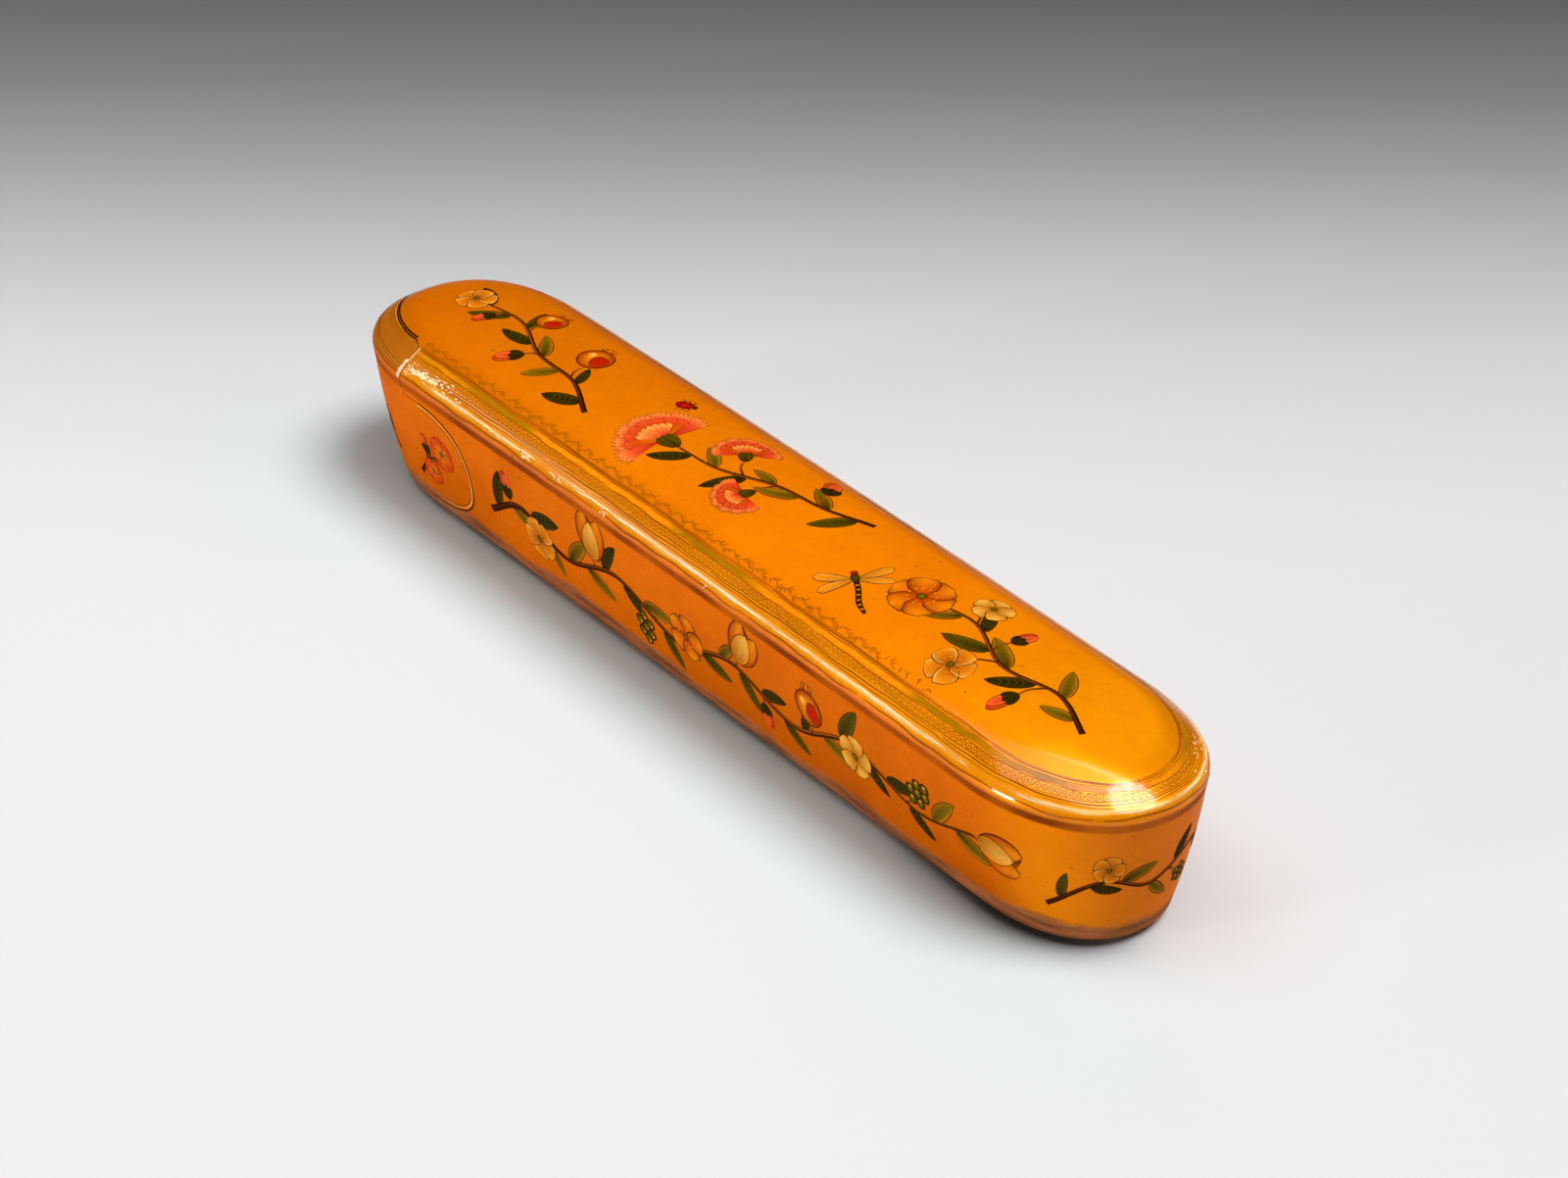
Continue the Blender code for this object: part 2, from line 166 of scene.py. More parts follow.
def smooth_path(points: Path, step: float = 0.7) -> Array:
    """Runs a smooth curve through points.

    Args:
        points: The points to pass through.
        step: About how far apart the samples are.

    Returns:
        The sampled curve.
    """
    knots = np.asarray(points, float)
    padded = np.vstack([2 * knots[0] - knots[1], knots, 2 * knots[-1] - knots[-2]])
    pieces = []
    for i in range(len(knots) - 1):
        before, start, end, after = padded[i : i + 4]
        count = max(2, int(np.linalg.norm(end - start) / step))
        t = np.linspace(0, 1, count, endpoint=False)[:, None]
        square, cube = t * t, t * t * t
        pieces.append(
            0.5
            * (
                2 * start
                + (end - before) * t
                + (2 * before - 5 * start + 4 * end - after) * square
                + (3 * start - before - 3 * end + after) * cube
            )
        )
    return np.vstack([*pieces, knots[-1:]])


def across(path: Array) -> Array:
    """Unit vectors across a path.

    Args:
        path: Points of the path in order.

    Returns:
        One vector for each point, to the left of its way.
    """
    way = np.gradient(path, axis=0)
    way /= np.maximum(np.linalg.norm(way, axis=1, keepdims=True), 1e-9)
    return np.stack([-way[:, 1], way[:, 0]], axis=1)


def mesh_object(name: str, points: Array, faces: list[list[int]]) -> Piece:
    """Makes a linked mesh object.

    Args:
        name: The object's name.
        points: Vertices in millimetres.
        faces: Vertex numbers of each face.

    Returns:
        The object, at the origin.
    """
    mesh = bpy.data.meshes.new(name)
    mesh.from_pydata((np.asarray(points) * MM).tolist(), [], faces)
    made = bpy.data.objects.new(name, mesh)
    bpy.context.scene.collection.objects.link(made)
    return made


def tidy_mesh(piece: Piece, weld: float = 1e-7) -> None:
    """Welds a mesh's double points and turns its faces outwards.

    Args:
        piece: The mesh object.
        weld: How near two points are to be one, in metres.
    """
    builder = bmesh.new()
    builder.from_mesh(piece.data)
    bmesh.ops.remove_doubles(builder, verts=builder.verts, dist=weld)
    bmesh.ops.recalc_face_normals(builder, faces=builder.faces)
    builder.to_mesh(piece.data)
    builder.free()


def smooth_shade(piece: Piece, sharp_deg: float = 38.0) -> None:
    """Shades a piece smooth, with sharp edges above an angle."""
    piece.data.shade_smooth()
    piece.data.set_sharp_from_angle(angle=math.radians(sharp_deg))


def slot_faces(piece: Piece, slot: int) -> None:
    """Gives every face of a piece one material slot."""
    piece.data.polygons.foreach_set("material_index", [slot] * len(piece.data.polygons))


def loft(name: str, rings: Sequence[Array], cap_last: bool = True, slot: int = 0) -> Piece:
    """Skins rings of equal count into a closed solid.

    Args:
        name: The object's name.
        rings: The rings in order, each a row of points.
        cap_last: Whether the last ring is closed with a face, or closes by itself.
        slot: Material slot of every face.

    Returns:
        The solid.
    """
    count = len(rings[0])
    faces: list[list[int]] = []
    for ring in range(len(rings) - 1):
        low, high = ring * count, (ring + 1) * count
        for i in range(count):
            j = (i + 1) % count
            faces.append([low + i, low + j, high + j, high + i])
    faces.append(list(range(count))[::-1])
    if cap_last:
        faces.append(list(range((len(rings) - 1) * count, len(rings) * count)))
    made = mesh_object(name, np.vstack(rings), faces)
    tidy_mesh(made)
    slot_faces(made, slot)
    return made


def prism(name: str, outline: Array, low: float, high: float, upright: bool, slot: int) -> Piece:
    """Makes an outline thick.

    Args:
        name: The object's name.
        outline: Points in X and Y or, upright, in X and Z.
        low: Where the thickness starts, along Z or, upright, along Y.
        high: Where it ends.
        upright: Whether the outline stands in X and Z.
        slot: Material slot of every face.

    Returns:
        The solid.
    """
    count = len(outline)
    level = np.repeat((low, high), count)
    first, second = np.tile(outline, (2, 1)).T
    columns = (first, level, second) if upright else (first, second, level)
    faces = [list(range(count)), list(range(count, 2 * count))[::-1]]
    for i in range(count):
        j = (i + 1) % count
        faces.append([i, j, count + j, count + i])
    made = mesh_object(name, np.stack(columns, axis=1), faces)
    tidy_mesh(made)
    slot_faces(made, slot)
    return made


def cut_by(piece: Piece, other: Piece, left: Cut) -> None:
    """Cuts a piece by another solid, which is then removed.

    Args:
        piece: The piece that stays.
        other: The other solid.
        left: What is left of the piece.
    """
    modifier = piece.modifiers.new("cut", "BOOLEAN")
    modifier.operation = left.value
    modifier.object = other
    graph = bpy.context.evaluated_depsgraph_get()
    mesh = bpy.data.meshes.new_from_object(piece.evaluated_get(graph))
    piece.modifiers.clear()
    piece.data = mesh
    bpy.data.objects.remove(other)


@dataclass(frozen=True)
class Detail:
    """How finely a form is stepped."""

    end_steps: int = 56
    side_steps: int = 90
    round_steps: int = 8
    wall_steps: int = 14
    roof_steps: int = 22


FINE = Detail()
PLAIN = Detail(end_steps=24, side_steps=12, round_steps=4, wall_steps=5, roof_steps=6)


@dataclass(frozen=True)
class BoxForm:
    """The outer form of the closed box, as in the solids."""

    length: float = 235.0
    width: float = 44.5
    edge_height: float = 34.0
    crown_rise: float = 7.0
    crown_fullness: float = 3.0
    roof_arch: float = 0.9
    end_depth: float = 30.0
    end_roundness: float = 2.16
    side_draw_in: float = 5.6
    end_draw_in: float = 6.3
    wall_curve: float = 1.6
    base_radius: float = 3.0
    ridge_radius: float = 2.8
    case_wall: float = 2.6
    inside_corner: float = 1.6
    skin: float = 0.14

    @property
    def half_length(self) -> float:
        """Half of the length."""
        return self.length / 2

    @property
    def half_width(self) -> float:
        """Half of the width."""
        return self.width / 2

    @property
    def straight(self) -> float:
        """How far the straight sides run from the middle."""
        return self.half_length - self.end_depth

    @property
    def ridge_turn(self) -> float:
        """How far the ridge's rounding turns before it runs into the crown."""
        return math.atan2(self.half_width, self.crown_fullness * self.crown_rise)

    @property
    def ridge_inset(self) -> float:
        """How far inside the outline the crown starts."""
        return self.ridge_radius * (1 - math.cos(self.ridge_turn))

    @property
    def ridge_drop(self) -> float:
        """How far under the edge's height the crown starts."""
        return self.ridge_radius * (1 - math.sin(self.ridge_turn))

    @property
    def lowest_edge(self) -> float:
        """Height of the roof's edge at the ends."""
        return self.edge_height - self.roof_arch

    def rails(self, detail: Detail) -> Array:
        """The outline as rails.

        Args:
            detail: How finely it is stepped.

        Returns:
            Rows of an arc's centre in X, and the unit place on that arc along X and Y.
        """
        angle = np.pi * (np.arange(detail.end_steps) / detail.end_steps - 0.5)
        along, over = superellipse(angle, self.end_roundness)
        share = 1 - 2 * np.arange(detail.side_steps) / detail.side_steps
        rows = []
        for side in (1, -1):
            centre = np.full(len(angle), side * self.straight)
            rows.append(np.stack([centre, side * along, side * over], axis=1))
            level = np.stack([side * self.straight * share, 0 * share, 0 * share + side], axis=1)
            rows.append(level)
        return np.vstack(rows)

    def edge_z(self, x: Array) -> Array:
        """Height of the roof's edge at a place along the box."""
        return self.edge_height - self.roof_arch * (x / self.half_length) ** 2

    def draw_in(self, z: Array) -> tuple[Array, Array]:
        """How far the side and the end walls stand inside the outline at a height."""
        share = np.clip(1 - z / self.edge_height, 0, None) ** self.wall_curve
        return self.side_draw_in * share, self.end_draw_in * share

    def wall_spot(self, rails: Array, z: Array, inset: float) -> Array:
        """Points on the wall.

        Args:
            rails: Rails of the outline.
            z: The height of each point, or one height.
            inset: How far inside the wall's face.

        Returns:
            One point for each rail.
        """
        side, end = self.draw_in(np.asarray(z, float))
        x = rails[:, 0] + rails[:, 1] * (self.end_depth - end - inset)
        y = rails[:, 2] * (self.half_width - side - inset)
        return np.stack([x, y, np.broadcast_to(z, x.shape)], axis=1)

    def roof_spot(
        self, rails: Array, inset: float, drop: float, share: float, rise: float
    ) -> Array:
        """Points on the roof.

        Args:
            rails: Rails of the outline.
            inset: How far inside the outline the ring starts.
            drop: How far under the edge's height.
            share: The ring's size, 1 at the edge and 0 at the middle line.
            rise: Height of the crown there.

        Returns:
            One point for each rail.
        """
        x = rails[:, 0] + rails[:, 1] * (self.end_depth - inset) * share
        y = rails[:, 2] * (self.half_width - inset) * share
        return np.stack([x, y, self.edge_z(x) - drop + rise], axis=1)

    def base_rings(self, offset: float, radius: float, detail: Detail) -> list[Array]:
        """Rings round the rounded edge of the base.

        Args:
            offset: How far inside the outer form.
            radius: Radius of the edge.
            detail: How finely it is stepped.

        Returns:
            The rings from the floor up to the wall.
        """
        rails = self.rails(detail)
        rings = []
        for angle in np.linspace(0, np.pi / 2, detail.round_steps + 1):
            z = offset + radius * (1 - math.cos(angle))
            rings.append(self.wall_spot(rails, z, offset + radius * (1 - math.sin(angle))))
        return rings

    def trough_rings(self, offset: float, top: float, radius: float, detail: Detail) -> list[Array]:
        """Rings of the body up to a level top.

        Args:
            offset: How far inside the outer form.
            top: Height of the last ring.
            radius: Radius of the base's edge.
            detail: How finely it is stepped.

        Returns:
            The rings from the floor up.
        """
        rails = self.rails(detail)
        rings = self.base_rings(offset, radius, detail)
        for z in np.linspace(offset + radius, top, detail.wall_steps + 1)[1:]:
            rings.append(self.wall_spot(rails, z, offset))
        return rings

    def body_rings(self, offset: float, radius: float, detail: Detail) -> list[Array]:
        """Rings of the whole body: base, walls, rounded ridge and crowned roof.

        Args:
            offset: How far inside the outer form.
            radius: Radius of the base's edge.
            detail: How finely it is stepped.

        Returns:
            The rings from the floor up, the last one fallen together on the middle line.
        """
        rails = self.rails(detail)
        ridge = self.ridge_radius
        rings = self.trough_rings(offset, self.lowest_edge - self.case_wall - ridge, radius, detail)
        for angle in np.linspace(0, self.ridge_turn, detail.round_steps + 1)[:-1]:
            inset = offset + ridge * (1 - math.cos(angle))
            drop = offset + ridge * (1 - math.sin(angle))
            rings.append(self.roof_spot(rails, inset, drop, 1.0, 0.0))
        for share in np.linspace(1, 0, detail.roof_steps + 1):
            rise = self.crown_rise * (1 - share**self.crown_fullness)
            inset, drop = offset + self.ridge_inset, offset + self.ridge_drop
            rings.append(self.roof_spot(rails, inset, drop, share, rise))
        return rings

    def outline_share(self, x: Array, y: Array, inset: Array | float) -> Array:
        """Where places lie within the outline moved in by an inset.

        Args:
            x: Places along the box.
            y: Places across it.
            inset: How far the outline is moved in.

        Returns:
            Under 1 inside that outline, and 1 on it.
        """
        power = self.end_roundness
        past = np.clip(np.abs(x) - self.straight, 0, None) / (self.end_depth - inset)
        return (past**power + (np.abs(y) / (self.half_width - inset)) ** power) ** (1 / power)

    def inset(self, x: Array, y: Array) -> Array:
        """How far inside the outline places are, found by halving.

        Args:
            x: Places along the box.
            y: Places across it.

        Returns:
            The insets.
        """
        low, high = np.full(np.shape(x), -1.0), np.full(np.shape(x), self.half_width - 0.01)
        for _ in range(36):
            middle = (low + high) / 2
            inside = self.outline_share(x, y, middle) < 1
            low, high = np.where(inside, middle, low), np.where(inside, high, middle)
        return np.clip(low, 0, None)

    def roof_z(self, x: Array, y: Array) -> Array:
        """Height of the crowned roof and of the ridge's rounding.

        Args:
            x: Places along the box.
            y: Places across it.

        Returns:
            The heights.
        """
        share = np.minimum(self.outline_share(x, y, self.ridge_inset), 1)
        crown = self.crown_rise * (1 - share**self.crown_fullness) - self.ridge_drop
        inset = self.inset(x, y)
        lean = np.clip(1 - inset / self.ridge_radius, 0, 1)
        bend = -self.ridge_radius * (1 - np.sqrt(1 - lean**2))
        return self.edge_z(x) + np.where(inset > self.ridge_inset, crown, bend)

    def zone(self, points: Array) -> Array:
        """Where points lie across the edge.

        Args:
            points: Points of the shell.

        Returns:
            The inset on the roof, or minus the depth under the ridge.
        """
        x, y, z = points.T
        depth = self.edge_z(x) - z
        return np.where(depth > self.ridge_radius, self.ridge_radius - depth, self.inset(x, y))


@dataclass(frozen=True)
class Seam:
    """The cut between the case and the drawer's end cap."""

    form: BoxForm
    step_from_end: float = 27.3
    base_from_end: float = 31.5
    tab_reach: float = 17.3
    tab_low: float = 4.2
    tab_below_edge: float = 6.5
    tab_roundness: float = 2.5
    tongue_width: float = 31.0
    tongue_flare: float = 3.0
    tongue_from_end: float = 2.6
    tongue_roundness: float = 1.75
    gap: float = 0.35
    tab_gap: float = 0.16
    tongue_low: float = 28.05
    beyond: float = 10.0
    steps: int = 64

    @property
    def step_x(self) -> float:
        """Where the step in the roof's edge is."""
        return self.step_from_end - self.form.half_length

    @property
    def base_x(self) -> float:
        """Where the cut crosses the base."""
        return self.base_from_end - self.form.half_length

    @property
    def tongue_root_x(self) -> float:
        """Where the round part of the tongue starts."""
        return self.step_x - self.tongue_flare

    def tab_curve(self, grow: float = 0.0) -> Array:
        """The tab's round edge seen from the side.

        Args:
            grow: How far it is grown.

        Returns:
            Its points in X and Z, from the bottom up.
        """
        high = self.form.edge_height - self.tab_below_edge
        angle = np.pi * (np.arange(self.steps + 1) / self.steps - 0.5)
        along, over = superellipse(angle, self.tab_roundness)
        x = self.base_x + grow + along * self.tab_reach
        z = (self.tab_low + high) / 2 + over * ((high - self.tab_low) / 2 + grow)
        return np.stack([x, z], axis=1)

    def side_outline(self, grow: float) -> Array:
        """The end cap's share seen from the side.

        Args:
            grow: How far it is grown.

        Returns:
            Its outline in X and Z.
        """
        left, top = -self.form.half_length - self.beyond, self.form.edge_height + 2 * self.beyond
        high = self.form.edge_height - self.tab_below_edge + grow
        step = self.step_x + grow
        first = [(left, -self.beyond), (self.base_x + grow, -self.beyond)]
        last = [(step, high), (step, top), (left, top)]
        return np.vstack([first, self.tab_curve(grow), last])

    def tongue_curve(self, grow: float = 0.0) -> Array:
        """The tongue's round edge seen from above.

        Args:
            grow: How far it is grown.

        Returns:
            Its points in X and Y, from +Y to -Y.
        """
        reach = self.tongue_root_x + self.form.half_length - self.tongue_from_end
        angle = np.pi * (np.arange(self.steps + 1) / self.steps - 0.5)
        along, over = superellipse(angle, self.tongue_roundness)
        x = self.tongue_root_x - along * (reach + grow)
        return np.stack([x, -over * (self.tongue_width / 2 + grow)], axis=1)

    def tongue_outline(self, grow: float) -> Array:
        """The tongue seen from above, with the flare at its root.

        Args:
            grow: How far its round edge is grown.

        Returns:
            Its outline in X and Y.
        """
        flare = self.form.half_width - self.form.case_wall - self.form.ridge_radius
        inner = self.step_x + self.beyond
        first = [(inner, flare), (self.step_x, flare)]
        last = [(self.step_x, -flare), (inner, -flare)]
        return np.vstack([first, self.tongue_curve(grow), last])

    def end_share(self, tab_grow: float, tongue_grow: float, slot: int) -> Piece:
        """The space that the end cap takes from the shell.

        Args:
            tab_grow: How far the end's share is grown.
            tongue_grow: How far the tongue is grown.
            slot: Material slot of the cut faces.

        Returns:
            The space as a solid.
        """
        reach = self.form.half_width + self.beyond
        share = prism("end_share", self.side_outline(tab_grow), -reach, reach, True, slot)
        top = self.form.edge_height + 4 * self.beyond
        outline = self.tongue_outline(tongue_grow)
        tongue = prism("tongue", outline, self.tongue_low, top, False, slot)
        cut_by(share, tongue, Cut.OUTSIDE)
        return share


FORM = BoxForm()
SEAM = Seam(FORM)


class Surface:
    """A face of the box with two coordinates of its own, for laying paint on."""

    def spot(self, u: Array, v: Array) -> Array:
        """Points of the bare face at its own coordinates."""
        raise NotImplementedError

    def place(self, u: Array, v: Array, lift: Array) -> Array:
        """Points a little above the dressed face.

        Args:
            u: First coordinate.
            v: Second coordinate.
            lift: Height above the dressed face.

        Returns:
            Points in the box's frame.
        """
        near = 0.02
        point = self.spot(u, v)
        by_u = self.spot(u + near, v) - self.spot(u - near, v)
        by_v = self.spot(u, v + near) - self.spot(u, v - near)
        normal = np.cross(by_u, by_v)
        normal /= np.maximum(np.linalg.norm(normal, axis=1, keepdims=True), 1e-12)
        middle = np.array([0.0, 0.0, FORM.edge_height / 2])
        core = np.clip(point, (-FORM.straight, 0, 0), (FORM.straight, 0, 0)) + middle
        outward = np.sign(np.sum(normal * (point - core), axis=1, keepdims=True))
        return point + normal * outward * (lift - FORM.skin)[:, None]


class RoofFace(Surface):
    """The crowned roof and its rounded edge, by X and Y."""

    def spot(self, u: Array, v: Array) -> Array:
        """Points of the roof at X and Y."""
        return np.stack([u, v, FORM.roof_z(u, v)], axis=1)


@dataclass
class OutlineFace(Surface):
    """A band that runs along one side, round an end and back along the other side.

    The first coordinate is X on the first side, and goes on as length round the end.
    """

    turn: End = End.CLOSED
    side: Side = Side.FRONT
    inset: float = 0.0

    def __post_init__(self) -> None:
        """Measures the length round the end."""
        angle = np.linspace(-np.pi / 2, np.pi / 2, 721)
        along, over = superellipse(angle, FORM.end_roundness)
        curve = np.stack([along * FORM.end_depth, over * FORM.half_width], axis=1)
        steps = np.linalg.norm(np.diff(curve, axis=0), axis=1)
        self._length = np.concatenate([[0.0], np.cumsum(steps)])
        self._angle = angle

    @property
    def end_length(self) -> float:
        """Length round the end."""
        return float(self._length[-1])

    @property
    def full_turn(self) -> float:
        """The first coordinate where the second side is straight at the middle of the box."""
        return 2 * FORM.straight + self.end_length

    def rails(self, u: Array) -> Array:
        """Rails of the outline.

        Args:
            u: Places along it.

        Returns:
            One rail for each place.
        """
        past = np.clip(u - FORM.straight, 0, self.end_length)
        angle = np.interp(past, self._length, self._angle)
        along, over = superellipse(angle, FORM.end_roundness)
        back = np.clip(u - FORM.straight - self.end_length, 0, None)
        centre = np.minimum(u, FORM.straight) - back
        return np.stack([self.turn * centre, self.turn * along, -self.side * over], axis=1)


class WallFace(OutlineFace):
    """The walls, by length along the outline and by height."""

    def spot(self, u: Array, v: Array) -> Array:
        """Points of the wall."""
        return FORM.wall_spot(self.rails(u), v, self.inset)


class EdgeFace(OutlineFace):
    """The roof's edge, by length along the outline and by inset, or minus the depth on a wall."""

    def spot(self, u: Array, v: Array) -> Array:
        """Points of the edge.

        Args:
            u: Places along the outline.
            v: Insets, or minus the depths on a wall.

        Returns:
            The points.
        """
        rails, inset = self.rails(u), np.maximum(v, 0)
        x = rails[:, 0] + rails[:, 1] * (FORM.end_depth - inset)
        y = rails[:, 2] * (FORM.half_width - inset)
        roof = np.stack([x, y, FORM.roof_z(x, y)], axis=1)
        level = FORM.edge_z(rails[:, 0] + rails[:, 1] * FORM.end_depth) - FORM.ridge_radius
        wall = FORM.wall_spot(rails, level + np.minimum(v, 0), 0.0)
        return np.where(v[:, None] >= 0, roof, wall)


@dataclass(frozen=True)
class PetalTint:
    """The colours of a petal or leaf."""

    heart: Pigment
    tip: Pigment
    edge: Pigment
    line: Pigment


@dataclass(frozen=True)
class Place:
    """Where a motif stands on its face: its root, the way it points in degrees, and its size."""

    u: float
    v: float
    heading: float = 90.0
    size: float = 1.0

    def to_face(self, points: Sequence) -> Array:
        """Turns points of the motif, which points along its own second axis, into the face's.

        Args:
            points: Points of the motif.

        Returns:
            The same points on the face.
        """
        points = np.asarray(points, float) * self.size
        angle = math.radians(self.heading - 90)
        turn = np.array([[math.cos(angle), math.sin(angle)], [-math.sin(angle), math.cos(angle)]])
        return points @ turn + (self.u, self.v)


STEM_LAYER = 12
FLOWER_LAYER = 14
CHANCE_LAYERS = 12


@dataclass
class PaintSheet:
    """Thin painted shapes on one face, each a hair above the one before."""

    face: Surface
    seed: int = 1
    lift: float = 0.02
    step: float = 0.0015
    points: list[Array] = field(default_factory=list)
    colours: list[Array] = field(default_factory=list)
    faces: list[list[int]] = field(default_factory=list)

    def __post_init__(self) -> None:
        """Starts the sheet's own chance numbers."""
        self.chance = np.random.default_rng(self.seed)
        self.count = 0
        self.level = self.lift

    def layer(self, depth: int = 0) -> None:
        """Goes to a level of its own, counted from the face."""
        self.level = self.lift + depth * self.step

    def any_layer(self) -> None:
        """Goes to a level by chance, so that few shapes that overlap share one."""
        self.layer(int(self.chance.integers(CHANCE_LAYERS)))

    def rise(self) -> None:
        """Goes up one step, so that the next shape covers those before."""
        self.level += self.step

    def grid(self, cells: Array, colours: Array) -> None:
        """Adds a sheet of four-sided cells.

        Args:
            cells: Rows and columns of points on the face.
            colours: Rows and columns of linear colours.
        """
        rows, columns = cells.shape[:2]
        flat = cells.reshape(-1, 2)
        heights = np.full((len(flat), 1), self.level)
        self.points.append(np.hstack([flat, heights]))
        brush = self.chance.normal(1.0, 0.05, (len(flat), 1))
        self.colours.append(np.clip(colours.reshape(-1, 3) * brush, 0, 1))
        for row in range(rows - 1):
            for column in range(columns - 1):
                corner = self.count + row * columns + column
                self.faces.append([corner, corner + 1, corner + columns + 1, corner + columns])
        self.count += len(flat)

    def stroke(
        self,
        path: Array,
        width: float,
        start: Pigment,
        end: Pigment | None = None,
        taper: Span = (0.4, 0.1),
    ) -> None:
        """Draws one brush stroke.

        Args:
            path: Points along the stroke.
            width: Its widest.
            start: Colour at the start.
            end: Colour at the end, if another.
            taper: Its width at both ends, as a share.
        """
        share = np.linspace(0, 1, len(path))
        half = width / 2 * np.interp(share, (0, 0.25, 0.7, 1), (taper[0], 1, 1, taper[1]))
        side = across(path) * half[:, None]
        first = start.linear
        last = (end or start).linear
        tone = first + (last - first) * share[:, None]
        self.grid(np.stack([path - side, path + side], axis=1), np.stack([tone, tone], axis=1))

    def petal(
        self,
        at: Place,
        root: Span,
        heading: float,
        length: float,
        width: float,
        tint: PetalTint,
        bend: float = 0.0,
        belly: float = 0.55,
        fullness: float = 1.25,
        veins: int = 0,
        outline: float = 0.2,
    ) -> None:
        """Paints a petal or a leaf with its outline and veins.

        Args:
            at: Where the motif stands.
            root: Its root in the motif.
            heading: The way it points in the motif, in degrees.
            length: From root to tip.
            width: At its widest.
            tint: Its colours.
            bend: How far it curls to the left, as a share of its length.
            belly: Where it is widest, as a share of its length.
            fullness: Under 1 for a blunt shape, over 1 for a slender one.
            veins: How many lines run along it.
            outline: Width of its outline.
        """
        share = np.linspace(0, 1, 11)
        angle = math.radians(heading)
        way = np.array([math.cos(angle), math.sin(angle)])
        left = np.array([-way[1], way[0]])
        axis = np.array(root) + length * (share[:, None] * way + bend * share[:, None] ** 2 * left)
        rise, fall = belly * fullness, (1 - belly) * fullness
        profile = share**rise * (1 - share) ** fall / (belly**rise * (1 - belly) ** fall)
        over = np.linspace(-1, 1, 7)
        reach = across(axis) * (profile * width / 2)[:, None]
        cells = axis[:, None] + reach[:, None] * over[None, :, None]
        tone = tint.heart.linear + (tint.tip.linear - tint.heart.linear) * share[:, None, None]
        rim = (np.abs(over) ** 2.5 * 0.85)[None, :, None]
        tone = tone + (tint.edge.linear - tone) * rim
        tone = tone * (1 - 0.28 * np.clip(over, 0, 1))[None, :, None]
        cells = at.to_face(cells)
        self.rise()
        self.grid(cells, tone)
        self.rise()
        columns = np.linspace(1, 5, veins).round().astype(int) if veins > 1 else [3] * veins
        for column in columns:
            self.stroke(cells[1:-2, column], outline * 0.7, tint.line, tint.tip)
        if outline:
            for column in (0, 6):
                self.stroke(cells[:, column], outline, tint.line, taper=(0.6, 0.6))

    def disc(self, *spot: object, **shape: object) -> None:
        """Paints a dot over the shapes before."""
        self.rise()
        self.dot(*spot, **shape)

    def dot(
        self,
        at: Place,
        centre: Sequence[float],
        radii: Span,
        middle: Pigment,
        rim: Pigment,
        ragged: float = 0.0,
        spokes: int = 22,
    ) -> None:
        """Paints a round spot beside the shapes before, on their level.

        Args:
            at: Where the motif stands.
            centre: Its centre in the motif.
            radii: Its half sizes in the motif.
            middle: Colour at the centre.
            rim: Colour at the rim.
            ragged: How uneven its rim is, as a share.
            spokes: How many points go round it.
        """
        angle = np.linspace(0, 2 * np.pi, spokes + 1)
        wobble = np.ones(spokes + 1)
        for wave in range(2, 7):
            size, phase = self.chance.normal(0, ragged), self.chance.uniform(0, 6.28)
            wobble += size * np.cos(wave * angle + phase)
        share = np.linspace(0.02, 1, 5)
        shape = np.stack([np.cos(angle) * radii[0], np.sin(angle) * radii[1]], axis=1)
        cells = np.array(centre) + share[:, None, None] * (shape * wobble[:, None])[None]
        tone = middle.linear + (rim.linear - middle.linear) * (share**1.6)[:, None, None]
        tone = np.broadcast_to(tone, cells.shape[:2] + (3,))
        self.grid(at.to_face(cells), tone)

    def build(
        self, name: str, material: bpy.types.Material, body: str, slot: str = "amber_lacquer"
    ) -> None:
        """Makes the sheet's mesh and lets it ride on a body.

        Args:
            name: The piece's name.
            material: Its finish, which reads the paint attribute.
            body: The body it rides on.
            slot: The library's name for its finish; not used.
        """
        flat = np.vstack(self.points)
        made = mesh_object(name, self.face.place(flat[:, 0], flat[:, 1], flat[:, 2]), self.faces)
        builder = bmesh.new()
        builder.from_mesh(made.data)
        for polygon in builder.faces:
            polygon.normal_update()
            centre = polygon.calc_center_median()
            along = min(max(centre.x, -FORM.straight * MM), FORM.straight * MM)
            core = Vector((along, 0, 0.5 * FORM.edge_height * MM))
            if polygon.normal.dot(centre - core) < 0:
                polygon.normal_flip()
        builder.to_mesh(made.data)
        builder.free()
        paint = made.data.color_attributes.new("paint", "FLOAT_COLOR", "POINT")
        tone = np.hstack([np.vstack(self.colours), np.ones((self.count, 1))])
        paint.data.foreach_set("color", tone.astype(np.float32).ravel())
        made.data.shade_smooth()
        made.data.materials.append(material)
        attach(made, body)
        log.info("%s: %d painted cells", name, len(self.faces))


class Motif:
    """Something painted that stands on its root and points along its own second axis."""

    def paint(self, sheet: PaintSheet, at: Place) -> None:
        """Paints it on a sheet, where it stands."""
        raise NotImplementedError


